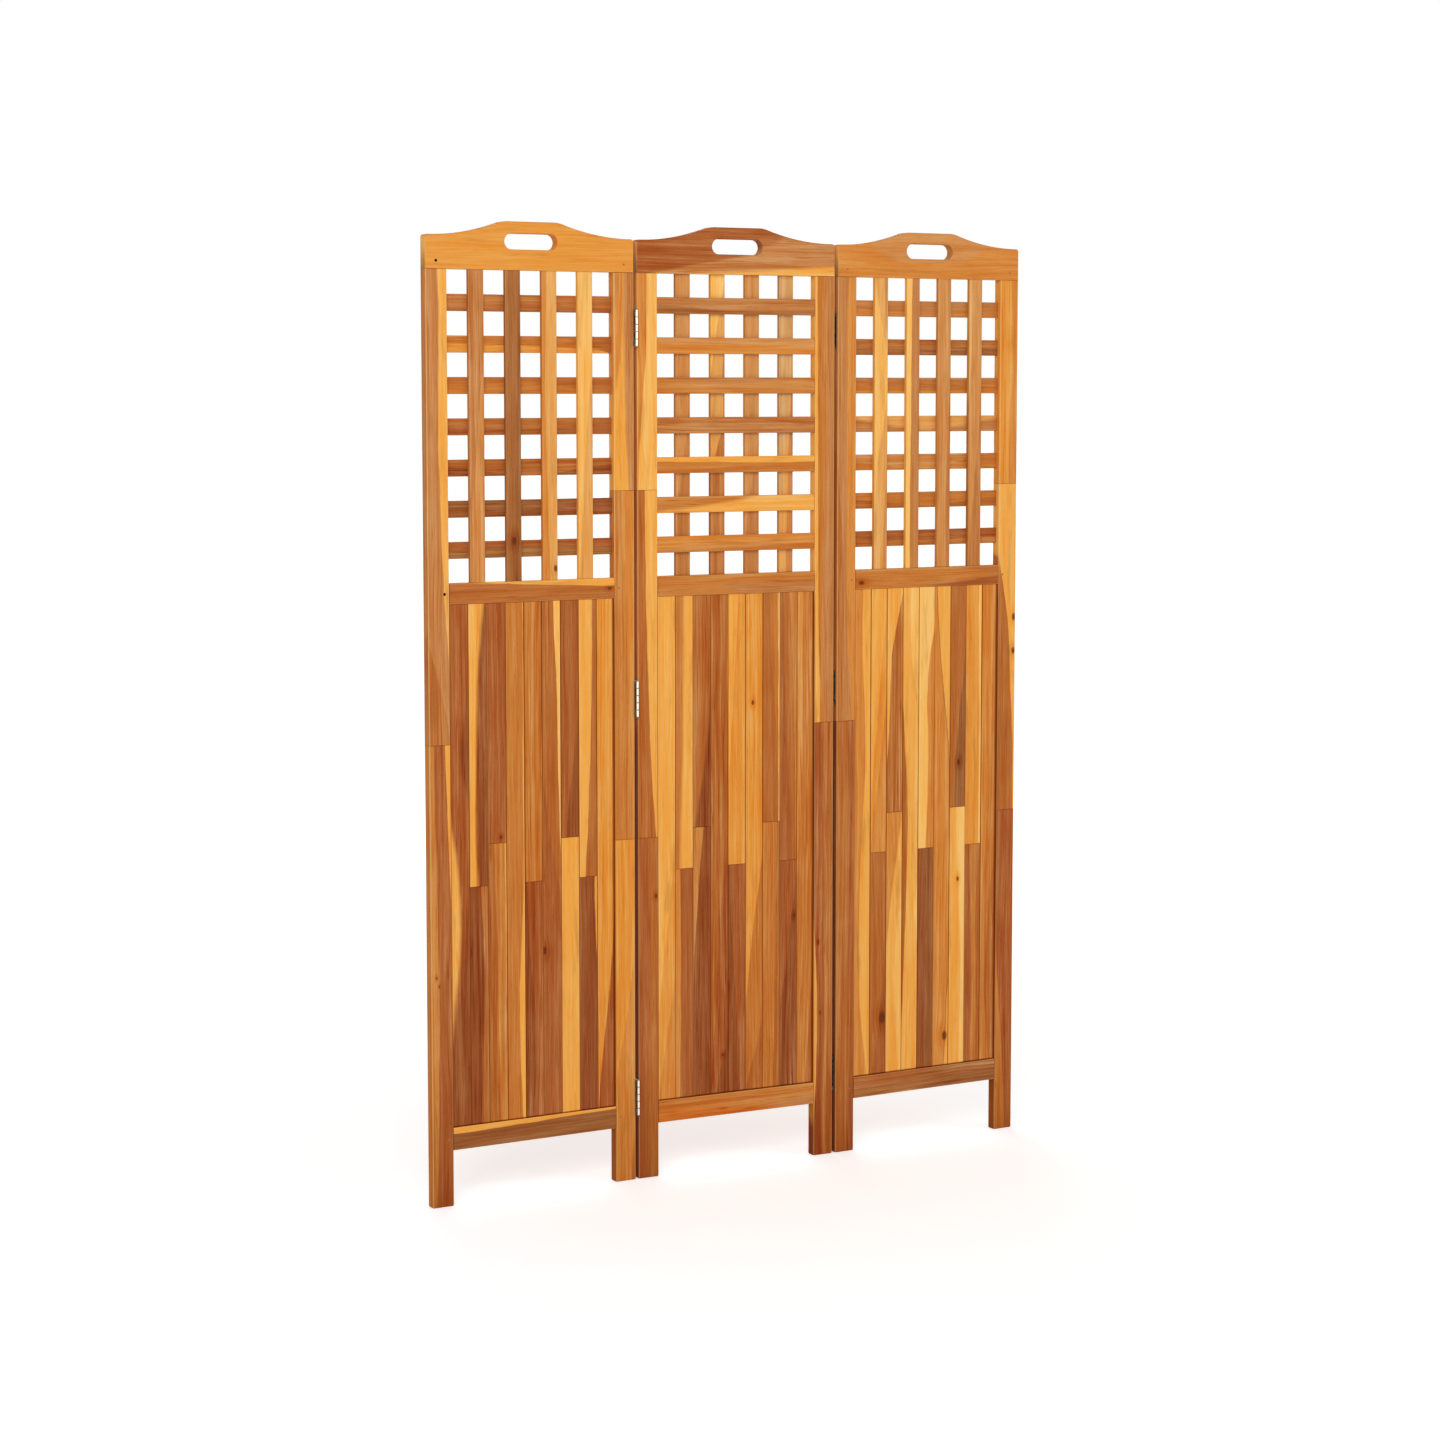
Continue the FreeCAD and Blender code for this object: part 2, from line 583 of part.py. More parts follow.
def boards(panel):
    """The boards below the lattice, tongued into each other and into both rails."""
    body = new_body(f"{panel}_panel_boards")
    side = f"({BOARD_PITCH} - board_gap) / 2"
    face = "board_thickness / 2"
    tongue = "tongue_thickness / 2"
    groove = f"({tongue} + joint_clearance)"
    groove_floor = f"(side_tongue_length + joint_clearance - {side})"
    section = new_sketch(body, "section", "XY")
    draw_outline(
        section,
        [
            (f"-{side}", f"-{face} + board_ease"),
            (f"-{side} + board_ease", f"-{face}"),
            (f"{side} - board_ease", f"-{face}"),
            (side, f"-{face} + board_ease"),
            (side, f"-{tongue}"),
            (f"{side} + side_tongue_length", f"-{tongue}"),
            (f"{side} + side_tongue_length", tongue),
            (side, tongue),
            (side, f"{face} - board_ease"),
            (f"{side} - board_ease", face),
            (f"-{side} + board_ease", face),
            (f"-{side}", f"{face} - board_ease"),
            (f"-{side}", groove),
            (groove_floor, groove),
            (groove_floor, f"-{groove}"),
            (f"-{side}", f"-{groove}"),
        ],
    )
    plank = pad(body, section, f"{BOARDS_HEIGHT} - 2 * joint_clearance", symmetric=True)
    ends = new_sketch(body, "end_tongues", "XY")
    width = f"({side} - {groove_floor})"
    draw_rectangle(ends, f"({groove_floor} + {side}) / 2", "0", width, "tongue_thickness")
    tongues = pad(body, ends, f"{BOARDS_HEIGHT} + 2 * end_tongue_length", symmetric=True)
    repeat(body, [plank, tongues], "X", BOARD_PITCH, "board_count")
    first = f"({BOARD_PITCH} - {INNER_WIDTH}) / 2"
    place(body, panel, x=first, z=f"{BOARDS_BOTTOM} + {BOARDS_HEIGHT} / 2")


def nails(panel):
    """Six nails that pin the tenons, driven flush with the face."""
    body = new_body(f"{panel}_panel_nails")
    sketch = new_sketch(body, "shanks", "XZ", "panel_thickness / 2")
    for side in (-1, 1):
        rail_x = f"{side} * ({INNER_WIDTH} / 2 + rail_nail_inset)"
        top_x = f"{side} * (panel_width - stile_width) / 2"
        draw_circle(sketch, rail_x, "leg_height + bottom_rail_width / 2", "nail_diameter / 2")
        draw_circle(sketch, rail_x, f"{BOARDS_TOP} + mid_rail_width / 2", "nail_diameter / 2")
        draw_circle(sketch, top_x, f"{STILE_LENGTH} + top_nail_rise", "nail_diameter / 2")
    pad(body, sketch, "nail_length", reverse=True)
    place(body, panel)


def screw_places(face):
    """The hinge screws of one edge, as formulas across and up. The face is that of the barrels."""
    places = []
    for height in HINGE_HEIGHTS.values():
        for step in (-1, 0, 1):
            stagger = "screw_stagger" if step else "-screw_stagger"
            across = f"{face} * ({JOINT_FRONT} - screw_line - ({stagger}))"
            places.append((across, f"{height} + {step} * screw_spread"))
    return places


def hinge_screws(panel):
    """The countersunk screws that hold the hinge leaves to one panel's edges."""
    body = new_body(f"{panel}_panel_hinge_screws")
    for side, face in PANELS[panel]["hinged"]:
        edge_name = "right" if side > 0 else "left"
        out = f"{side} * panel_width / 2"
        top = f"{side} * (panel_width / 2 + leaf_thickness)"
        head = new_sketch(body, f"{edge_name}_heads", "YZ", top)
        shank = new_sketch(body, f"{edge_name}_shanks", "YZ", out)
        for y, z in screw_places(face):
            draw_circle(head, y, z, SCREW_HEAD_RADIUS)
            draw_circle(shank, y, z, "screw_diameter / 2")
        into_the_wood = side > 0
        head_pad = pad(body, head, "leaf_thickness", reverse=into_the_wood)
        narrowing = f"({SCREW_HEAD_RADIUS} - screw_diameter / 2)"
        bind(head_pad, "TaperAngle", f"-atan({narrowing} / leaf_thickness)")
        shank_length = "(screw_length - leaf_thickness)"
        shank_pad = pad(body, shank, shank_length, reverse=into_the_wood)
        narrowing = "(screw_diameter - screw_tip_diameter) / 2"
        bind(shank_pad, "TaperAngle", f"-atan({narrowing} / {shank_length})")
    place(body, panel)


def place_on_joint(part, panel, side, face, height):
    """Put a hinge's part on the pin line of a panel's edge."""
    across = f"{side} * {JOINT_SIDE}"
    place(part, panel, x=across, y=f"{face} * {JOINT_FRONT}", z=HINGE_HEIGHTS[height])


def hinge_leaf(name, panel, side, face, height, own_first):
    """One leaf: a plate on the stile's edge and its knuckles round the pin line.

    A leaf that owns the first knuckle has the first, third and fifth; the other leaf has the rest.
    """
    body = new_body(name)
    ring = new_sketch(body, "barrel", "XY")
    draw_circle(ring, "0", "0", "hinge_gap / 2")
    pad(body, ring, "hinge_length", symmetric=True)
    plate = new_sketch(body, "plate", "XY")
    wood = f"-1 * {side} * hinge_gap / 2"
    draw_rectangle(
        plate,
        f"{wood} + {side} * leaf_thickness / 2",
        f"-1 * {face} * hinge_reach / 2",
        "leaf_thickness",
        "hinge_reach",
    )
    pad(body, plate, "hinge_length", symmetric=True)
    notches = new_sketch(body, "notches", "YZ")
    count = int(size("knuckle_count"))
    for index in range(count):
        if (index % 2 == 0) == own_first:
            continue
        knuckle = "(hinge_length / knuckle_count)"
        low = f"{knuckle} * {index} - hinge_length / 2 - knuckle_gap / 2"
        high = f"{knuckle} * {index + 1} - hinge_length / 2 + knuckle_gap / 2"
        if index == 0:
            low = "-hinge_length / 2 - overrun"
        if index == count - 1:
            high = "hinge_length / 2 + overrun"
        outside = f"{face} * (hinge_gap / 2 + overrun)"
        inside = f"-1 * {face} * hinge_stand_off"
        draw_outline(notches, [(outside, low), (inside, low), (inside, high), (outside, high)])
    pocket(body, notches, "hinge_gap + 2 * overrun", symmetric=True)
    bore = new_sketch(body, "bore", "XY")
    draw_circle(bore, "0", "0", "pin_diameter / 2 + pin_clearance")
    pocket(body, bore, "hinge_length + 2 * overrun", symmetric=True)
    for step in (-1, 0, 1):
        sink = body.newObject("PartDesign::SubtractiveCone", f"{body.Name}_sink_{step + 2}")
        turn = FreeCAD.Rotation(FreeCAD.Vector(0, 1, 0), 90 * side)
        sink.Placement = FreeCAD.Placement(FreeCAD.Vector(), turn)
        stagger = "screw_stagger" if step else "-screw_stagger"
        bind(sink, "Placement.Base.x", wood)
        bind(sink, "Placement.Base.y", f"-1 * {face} * (screw_line + {stagger})")
        bind(sink, "Placement.Base.z", f"{step} * screw_spread")
        bind(sink, "Radius1", "screw_diameter / 2 + nail_clearance")
        bind(sink, "Radius2", f"{SCREW_HEAD_RADIUS} + nail_clearance")
        bind(sink, "Height", "leaf_thickness")
    place_on_joint(body, panel, side, face, height)


def hinge_pin(name, panel, side, face, height):
    """The hinge pin with a button at each end."""
    body = new_body(name)
    sketch = new_sketch(body, "profile", "XZ")
    shank = "pin_diameter / 2"
    button = "pin_head_diameter / 2"
    seat = "hinge_length / 2"
    end = "(hinge_length / 2 + pin_head_height)"
    bevel = "pin_head_height / 2"
    draw_outline(
        sketch,
        [
            ("0", f"-{end}"),
            (f"{button} - {bevel}", f"-{end}"),
            (button, f"-{end} + {bevel}"),
            (button, f"-{seat}"),
            (shank, f"-{seat}"),
            (shank, seat),
            (button, seat),
            (button, f"{end} - {bevel}"),
            (f"{button} - {bevel}", end),
            ("0", end),
        ],
    )
    turned = body.newObject("PartDesign::Revolution", f"{sketch.Name}_turned")
    turned.Profile = sketch
    turned.ReferenceAxis = (sketch, ["V_Axis"])
    turned.Angle = 360
    sketch.Visibility = False
    place_on_joint(body, panel, side, face, height)


def build_panel(panel):
    """All wooden pieces, nails and screws of one panel, named as seen from the front."""
    turned_round = panel == "middle"
    top_rail(panel)
    stile(panel, "left_stile", 1 if turned_round else -1)
    stile(panel, "right_stile", -1 if turned_round else 1)
    rail(panel, "mid_rail", "mid_rail_width", f"{BOARDS_TOP} + mid_rail_width / 2")
    rail(panel, "bottom_rail", "bottom_rail_width", "leg_height + bottom_rail_width / 2")
    count = int(size("upright_count"))
    for number in range(1, count + 1):
        upright(panel, f"upright_{number}", count - number if turned_round else number - 1)
    crossbars(panel)
    boards(panel)
    nails(panel)
    hinge_screws(panel)


def build_joint(joint, fixed_edge, swing_edge):
    """Three hinges: each has one leaf and the pin on the middle panel, and one on the outer panel."""
    for height in HINGE_HEIGHTS:
        hinge_leaf(f"{joint}_{height}_hinge_fixed_leaf", "middle", *fixed_edge, height, own_first=True)
        hinge_leaf(f"{joint}_{height}_hinge_swing_leaf", joint, *swing_edge, height, own_first=False)
        hinge_pin(f"{joint}_{height}_hinge_pin", "middle", *fixed_edge, height)


def check_model():
    """Stop if any object failed, a sub-part is not sound, or a pocket cut nothing."""
    for item in doc.Objects:
        if "Invalid" in item.State or "Error" in item.State:
            raise RuntimeError(f"{item.Name} is {item.State}")
        if item.TypeId == "PartDesign::Pocket":
            before = item.getPropertyByName("BaseFeature").Shape.Volume
            if item.Shape.Volume >= before:
                raise RuntimeError(f"{item.Name} cuts nothing")
    for part in sub_parts:
        if part.Shape.isNull() or not part.Shape.isValid() or not part.Shape.Solids:
            raise RuntimeError(f"{part.Label} has no sound shape")


def write_parts():
    """One STEP file per sub-part, named by its label."""
    os.makedirs("parts", exist_ok=True)
    for part in sub_parts:
        part.Shape.exportStep(f"parts/{part.Label}.step")


fill_sheet()
for panel_name in PANELS:
    build_panel(panel_name)
build_joint("left", (1, 1), (1, -1))
build_joint("right", (-1, -1), (-1, 1))
doc.recompute()
check_model()
write_parts()
print(f"{len(sub_parts)} sub-parts, {sum(len(part.Shape.Solids) for part in sub_parts)} solids")
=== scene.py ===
"""The look of the folding room divider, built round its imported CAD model.

Metres. Every panel is made in the middle panel's own frame, which is the frame of the CAD model:
+X to the right, +Y to the back, +Z up. An outer panel is then swung into its place.
"""
import json
import math
import random

import bmesh
import bpy
from mathutils import Matrix, Vector


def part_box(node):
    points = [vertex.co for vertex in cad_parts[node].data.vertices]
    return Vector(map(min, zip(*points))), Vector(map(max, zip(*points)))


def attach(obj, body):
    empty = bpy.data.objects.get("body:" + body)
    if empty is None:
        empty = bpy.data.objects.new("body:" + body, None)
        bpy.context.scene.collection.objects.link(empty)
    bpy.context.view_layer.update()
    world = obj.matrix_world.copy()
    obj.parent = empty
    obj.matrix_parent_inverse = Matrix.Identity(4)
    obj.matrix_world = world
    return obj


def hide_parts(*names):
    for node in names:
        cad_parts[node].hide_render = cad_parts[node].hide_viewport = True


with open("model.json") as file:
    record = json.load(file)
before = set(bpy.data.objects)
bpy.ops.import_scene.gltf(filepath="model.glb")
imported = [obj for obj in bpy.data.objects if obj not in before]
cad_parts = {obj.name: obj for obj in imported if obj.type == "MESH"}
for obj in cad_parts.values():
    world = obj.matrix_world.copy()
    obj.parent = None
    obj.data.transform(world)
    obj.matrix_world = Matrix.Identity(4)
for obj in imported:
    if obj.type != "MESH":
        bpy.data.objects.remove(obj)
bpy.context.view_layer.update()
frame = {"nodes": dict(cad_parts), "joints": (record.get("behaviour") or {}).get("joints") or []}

X, Y, Z = 0, 1, 2
PANELS = ("left", "middle", "right")
JOINTS = {joint["child"]: joint for joint in frame["joints"]}


def span(node, axis):
    """Lowest and highest place of a CAD node along one axis."""
    low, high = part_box(node)
    return low[axis], high[axis]


# Places read from the middle panel, which stands square to the axes
PANEL_LEFT, OPENING_LEFT = span("middle_panel_left_stile", X)
OPENING_RIGHT, PANEL_RIGHT = span("middle_panel_right_stile", X)
FACE_FRONT, FACE_BACK = span("middle_panel_mid_rail", Y)
BOARD_FRONT, BOARD_BACK = span("middle_panel_boards", Y)
BAR_FRONT, BAR_BACK = span("middle_panel_crossbars", Y)
BOTTOM_RAIL = span("middle_panel_bottom_rail", Z)
MID_RAIL = span("middle_panel_mid_rail", Z)
TOP_RAIL = span("middle_panel_top_rail", Z)
CROSSBARS = span("middle_panel_crossbars", Z)
UPRIGHTS = [span(f"middle_panel_upright_{number}", X) for number in (1, 2, 3, 4)]
SLAT_WIDTH = UPRIGHTS[0][1] - UPRIGHTS[0][0]
CROSSBAR_COUNT = 7
BOARD_COUNT = 9

# The top rail's outline, as in the CAD model
SIDE_HEIGHT = 1.675
CORNER_ROUND = 0.005
HUMP_FLAT = 0.090
HUMP_SHOULDER = 0.050
GRIP_LENGTH = 0.101
GRIP_HEIGHT = 0.027
GRIP_DROP = 0.034

# Steps of the outline's arcs and of its rounded rim, and how near two points are one
CORNER_ARC_STEPS = 5
SWEEP_STEPS = 14
SHOULDER_STEPS = 8
GRIP_STEPS = 12
RIM_STEPS = 2
SAME_POINT = 0.00002

# Rounding of the long edges, the steps of a corner and the space between a mesh's rings
FRAME_EASE = 0.0020
SLAT_EASE = 0.0012
BOARD_EASE = 0.0013
CORNER_STEPS = 3
RING_EVERY = 0.045

# Levels at which the boards and stiles are joined end to end
BOARD_JOINT_LOW = 0.557
BOARD_JOINT_HIGH = 0.630
STILE_JOINT_MIDDLE = 0.807
STILE_JOINT_HIGH = 1.237
STILE_JOINT_LOW = 0.618

# Tones of oiled acacia, from sapwood to dark heartwood, as display colours
TONES = {
    "pale": (252, 194, 104),
    "wheat": (248, 184, 92),
    "gold": (244, 172, 76),
    "straw": (232, 168, 90),
    "sand": (220, 168, 106),
    "honey": (232, 153, 60),
    "fawn": (214, 145, 78),
    "amber": (218, 138, 57),
    "clay": (198, 127, 66),
    "tan": (203, 124, 50),
    "copper": (208, 115, 36),
    "brown": (187, 108, 43),
    "cocoa": (174, 108, 54),
    "olive": (164, 102, 46),
    "russet": (174, 94, 38),
    "umber": (157, 93, 43),
    "dark": (153, 79, 30),
}

# Each timber lists its tones from its left edge to its right one, or from its lower edge to its
# upper one. The numbers between two tones are the place of their boundary, in percent of the
# width, from the timber's top to its foot, or from its left end to its right one.
# A board joined end to end has its upper length, the level of the joint and its lower length.
LEFT_BOARDS = [
    "gold -8 -8 -8 -8 -2 32 50 34 6 -8 -8 soft russet 104 104 80 50 104 104 90 60 20 -8 -8 dark",
    ("gold 84 62 50 45 40 38 36 38 44 soft dark", BOARD_JOINT_LOW, "dark 60 80 70 60 brown"),
    ("russet", BOARD_JOINT_HIGH, "brown 30 50 40 60 tan 90 95 98 98 gold"),
    "tan 95 94 93 93 92 90 76 66 70 82 gold",
    ("tan 95 96 96 97 dark", BOARD_JOINT_LOW, "dark 10 30 60 50 russet"),
    "russet -8 -8 -8 -8 20 60 104 104 104 104 104 brown 60 72 80 85 90 98 104 104 104 104 104 pale",
    ("russet 104 104 96 84 50 30 dark", BOARD_JOINT_HIGH, "gold"),
    ("gold 74 74 72 66 58 48 36 brown", BOARD_JOINT_LOW, "dark 84 92 104 104 104 gold"),
    "honey 104 104 104 104 104 104 98 80 58 26 4 russet",
]
MIDDLE_BOARDS = [
    "gold 104 104 104 104 104 90 70 40 10 -8 -8 honey 104 104 104 104 104 104 104 104 80 40 0 amber",
    ("tan 50 48 46 44 42 36 30 25 soft gold", BOARD_JOINT_LOW, "amber 26 30 32 28 24 russet"),
    ("brown 104 104 90 60 10 soft dark", BOARD_JOINT_HIGH, "tan 62 42 26 14 6 0 -5 -5 lined dark"),
    "brown 104 104 104 104 90 60 40 20 0 russet 104 104 104 104 104 104 104 100 30 dark",
    ("gold 60 40 20 0 -8 honey", BOARD_JOINT_LOW, "dark 20 30 50 70 russet"),
    "honey 104 104 104 104 104 60 20 -8 -8 tan 104 104 104 104 104 104 104 90 0 brown",
    ("brown 50 60 80 104 tan 90 91 92 93 pale", BOARD_JOINT_HIGH, "tan 80 76 74 70 60 brown"),
    ("russet 20 30 50 72 brown 60 80 90 94 tan", BOARD_JOINT_LOW, "russet 104 70 30 -8 -8 dark"),
    "amber 36 30 24 10 -8 -8 -8 tan 104 104 104 104 104 80 50 brown",
]
RIGHT_BOARDS = [
    "amber 50 48 70 60 38 34 40 80 gold",
    ("gold 104 60 20 -8 honey 104 104 60 0 amber", BOARD_JOINT_LOW, "brown 104 104 90 60 20 russet"),
    (
        "gold 104 66 30 22 18 10 -4 -4 brown",
        BOARD_JOINT_HIGH,
        "amber 96 60 20 -5 -5 -5 gold 104 104 80 50 60 80 wheat",
    ),
    (
        "brown -8 -8 -8 5 16 30 34 30 22 16 8 0 -8 gold"
        " 50 46 60 104 104 104 104 104 80 104 104 104 104 pale"
    ),
    ("pale 104 100 66 52 60 62 56 48 amber", BOARD_JOINT_LOW, "dark 30 50 40 umber"),
    "amber 12 22 38 56 78 95 104 104 104 104 104 104 90 80 70 lined gold",
    ("brown 104 90 50 30 umber", BOARD_JOINT_HIGH, "gold 40 60 80 70 pale"),
    ("honey 80 82 85 85 86 pale", BOARD_JOINT_LOW, "russet 30 40 50 40 tan 70 80 75 brown"),
    "amber 80 70 60 40 10 -8 -8 tan 104 104 104 104 60 30 60 brown",
]
BOARDS = {"left": LEFT_BOARDS, "middle": MIDDLE_BOARDS, "right": RIGHT_BOARDS}

# A stile's lengths from its top down, each with the level of its lower end
LEFT_STILES = {
    "left": [
        (
            "brown -8 -8 -8 -8 -8 -8 -8 0 60 104 clay 57 60 57 54 58 64 74 90 104 104 gold",
            STILE_JOINT_MIDDLE,
        ),
        ("tan 22 25 30 36 40 34 30 20 russet 72 84 96 104 104 104 104 gold", 0.0),
    ],
    "right": [
        ("amber 50 50 30 0 -8 -8 gold 50 50 52 56 64 74 soft clay", STILE_JOINT_HIGH),
        ("tan 40 50 80 90 soft amber", STILE_JOINT_LOW),
        ("honey 104 104 60 -8 -8 amber 104 104 104 104 80 tan", 0.0),
    ],
}
MIDDLE_STILES = {
    "left": [
        ("amber 48 46 34 14 4 wheat", STILE_JOINT_HIGH),
        ("brown 34 38 42 50 58 70 90 gold", STILE_JOINT_LOW),
        ("russet 45 60 50 40 brown", 0.0),
    ],
    "right": [
        ("gold 12 12 15 20 30 tan 50 60 55 45 50 clay", STILE_JOINT_MIDDLE),
        ("gold -8 -8 -8 -4 6 16 18 6 -8 russet 50 55 50 54 46 brown", 0.0),
    ],
}
RIGHT_STILES = {
    "left": [
        ("brown -8 -8 0 28 36 28 clay 50 50 50 50 56 80 amber", STILE_JOINT_MIDDLE),
        ("brown 60 70 70 80 60 russet", 0.0),
    ],
    "right": [
        ("honey 60 70 60 50 amber", STILE_JOINT_HIGH),
        ("brown -8 -8 0 36 60 68 78 88 92 90 gold", STILE_JOINT_LOW),
        ("tan -8 -8 10 40 60 russet", 0.0),
    ],
}
STILES = {"left": LEFT_STILES, "middle": MIDDLE_STILES, "right": RIGHT_STILES}

TOP_RAILS = {
    "left": "honey",
    "middle": "gold -8 -2 6 14 21 soft clay -8 -8 30 84 104 russet",
    "right": "amber 104 60 0 60 104 soft fawn",
}
MID_RAILS = {
    "left": "brown 104 98 90 82 74 67 62 gold",
    "middle": "tan 104 50 -8 -8 clay 60 50 50 60 soft tan",
    "right": "russet -8 -8 20 50 tan 104 104 100 60 soft brown",
}
BOTTOM_RAILS = {
    "left": "umber 73 75 78 81 84 87 90 gold",
    "middle": "copper 104 104 20 -8 clay 60 50 20 50 soft tan",
    "right": "umber -8 -8 40 50 cocoa 50 60 104 104 soft russet",
}
UPRIGHT_TIMBERS = {
    "left": [
        "clay 96 96 60 20 10 fawn",
        "cocoa 90 80 60 40 soft umber",
        "amber 30 20 30 50 straw",
        "wheat 104 104 60 30 10 straw",
    ],
    "middle": [
        "fawn 104 104 80 20 -8 clay",
        "pale 104 50 0 -8 -8 -8 -8 straw 104 104 80 90 -8 -8 -8 clay",
        "fawn 104 104 104 80 20 -8 clay",
        "sand 104 104 60 20 -8 straw 104 104 70 60 50 fawn",
    ],
    "right": [
        "wheat 0 104 20 -8 straw 70 104 90 60 fawn",
        "pale 40 40 36 34 34 clay",
        "fawn 70 90 70 60 clay",
        "straw 20 20 -8 -8 -8 fawn 104 104 80 40 10 clay",
    ],
}
CROSSBAR_TIMBERS = {
    "left": [
        "russet 20 30 20 brown",
        "honey 55 50 40 30 10 tan 104 104 104 80 0 brown",
        "tan 60 70 0 soft brown",
        "russet 60 30 70 brown",
        "dark 60 0 60 brown",
        "dark 50 40 104 umber",
        "olive 50 60 40 russet",
    ],
    "middle": [
        "cocoa 60 20 20 clay",
        "amber 50 60 50 fawn",
        "tan 90 60 104 clay",
        "clay 50 90 50 brown",
        "tan 70 65 60 66 gold",
        "gold 10 20 40 60 86 104 104 104 soft tan",
        "tan 30 50 40 amber",
    ],
    "right": [
        "tan 60 20 60 soft clay",
        "cocoa 40 50 60 brown",
        "tan 60 30 60 clay",
        "clay 80 10 80 soft straw",
        "tan 50 10 104 fawn",
        "brown 60 10 60 tan",
        "brown 50 russet",
    ],
}

# Knots: percent of the width (of the length on a rail), height above the floor, radius
KNOTS = {
    ("left", "left_stile"): [(25, 0.404, 0.0018), (37, 0.389, 0.0014)],
    ("left", "mid_rail"): [(97, 1.066, 0.0030)],
    ("left", "upright_2"): [(50, 1.154, 0.0055)],
    ("left", "upright_3"): [(85, 1.104, 0.0045)],
    ("left", "board_3"): [(70, 0.640, 0.0025)],
    ("left", "board_6"): [(4, 0.433, 0.0055)],
    ("middle", "left_stile"): [(88, 0.512, 0.0030)],
    ("middle", "right_stile"): [(22, 0.400, 0.0018), (34, 0.268, 0.0015)],
    ("middle", "board_4"): [(70, 0.209, 0.0026)],
    ("middle", "board_6"): [(42, 0.850, 0.0035)],
    ("middle", "board_8"): [(86, 0.454, 0.0030)],
    ("right", "right_stile"): [(90, 0.985, 0.0056), (88, 0.921, 0.0050)],
    ("right", "mid_rail"): [(4, 1.060, 0.0050)],
    ("right", "board_2"): [(80, 0.244, 0.0090)],
    ("right", "board_6"): [(76, 0.195, 0.0070)],
    ("right", "board_7"): [(55, 0.715, 0.0045), (55, 0.493, 0.0035)],
}
# A knot out of sight, how much a knot narrows from the front to the back, and a distance past all
NO_KNOT = (9.0, 9.0, 0.001)
KNOT_TAPER = 0.8
FAR = 1.0

# Words for a timber's boundaries: blurred, or with a dark line along them
MANNERS = ("soft", "lined")
CRISP = 0.0009
SOFT = 0.0045

# Drawn by lot for each timber: where its grain starts, how much of the seams' darkening and
# painted shade each side has, and how strong its figure is
GRAIN_STARTS = (2.0, 8.0)
SEAM_AND_SHADE_SHARES = (0.3, 1.0)
FIGURE_STRENGTHS = (0.5, 1.15)

# Shades from 0 to 1: dark lines at the timbers' ends and how far they reach, which stand for a
# painted shadow where the boards end under the mid rail; a painted shadow at the boards' lower
# ends on the bottom rail; dark seams with painted shade on the boards' sides; painted shade on
# the slats' sides; and the top rail's darker rim
JOINT_SHADE = 0.45
JOINT_LINE = 0.0007
BOARD_FOOT_SHADE = 0.6
BOARD_FOOT_LINE = 0.0035
BOARD_SEAM_AND_SHADE = 1.0
SLAT_SIDE_SHADE = 0.4
RIM_SHADE = 0.14
# A stile's sides: the painted shade above a level, the painted shade below it and the level.
# It darkens the sides in the gaps between panels and, below the mid rail, beside the boards
OUTER_SIDE_SHADE = (0.0, 0.0, 0.0)
GAP_SIDE_SHADE = (0.05, 0.45, STILE_JOINT_MIDDLE)
INNER_SIDE_SHADE = (0.0, 0.6, MID_RAIL[0])
# Stiles are darker near the floor
FOOT_SHADE = 0.22
FOOT_REACH = 0.23
# The last board is darker beside the right stile: a painted shadow
CONTACT_NEAR = 0.0020
CONTACT_FAR = 0.0062
CONTACT_SHADE = 0.62

# Wear with a painted highlight: how pale long edges and the top rail's ends are made, from 0 to 1.
# Boards take turns.
EDGE_WEAR_AND_HIGHLIGHT = 0.22
STILE_WEAR_AND_HIGHLIGHT = 0.5
END_WEAR_AND_HIGHLIGHT = 0.45
BOARD_WEAR_AND_HIGHLIGHTS = (0.05, 0.35, 0.10, 0.50, 0.0)

# Noises in the wood: how often per metre across and along it, and their detail
WANDER = (14.0, 2.2, 2.0)
CLOUD = (22.0, 9.0, 2.0)
WAVE = (40.0, 11.0, 3.0)
NOISE_ROUGHNESS = 0.55
WANDER_REACH = 0.020
WAVE_REACH = 0.0050
# Noises drawn out along the grain: the width and length of their features, and their detail
BROAD = (0.012, 0.50, 2.0)
MIDDLE = (0.0034, 0.20, 3.0)
FINE = (0.0010, 0.060, 2.0)
PORES = (0.00045, 0.010, 1.0)
VEINS = (0.0062, 0.55, 1.0)
SMUDGES = (0.0150, 0.12, 3.0)
STREAK_ROUGHNESS = 0.6
# Values of the noise between which pores and smudges set in, and how near its middle veins run
PORE_RANGE = (0.62, 0.74)
VEIN_RANGE = (0.0, 0.022)
SMUDGE_RANGE = (0.54, 0.74)

# How much each part of the figure, a knot, and seams with their painted shade deepen the colour
BROAD_DEPTH = 0.95
MIDDLE_DEPTH = 0.95
CLOUD_DEPTH = 0.45
VEIN_DEPTH = 0.32
FINE_DEPTH = 0.60
PORE_DEPTH = 0.24
KNOT_DEPTH = 0.28
SEAM_AND_SHADE_DEPTH = 0.6
LEAST_POWER = 0.6

# Knots are longer along the grain. Core and halo fade between these multiples of the radius.
KNOT_STRETCH = (1.0, 0.6, 0.0)
CORE_RANGE = (0.45, 1.05)
HALO_RANGE = (0.3, 3.4)
KNOT_PARTING = -0.75

# Colours laid over the tones, and how strongly
SMUDGE_COLOUR, SMUDGE_STRENGTH = (152, 95, 42), 0.30
BORDER_COLOUR, BORDER_STRENGTH = (112, 56, 22), 0.6
BORDER_REACH = 0.0016
KNOT_COLOUR, KNOT_STRENGTH = (98, 44, 16), 0.86
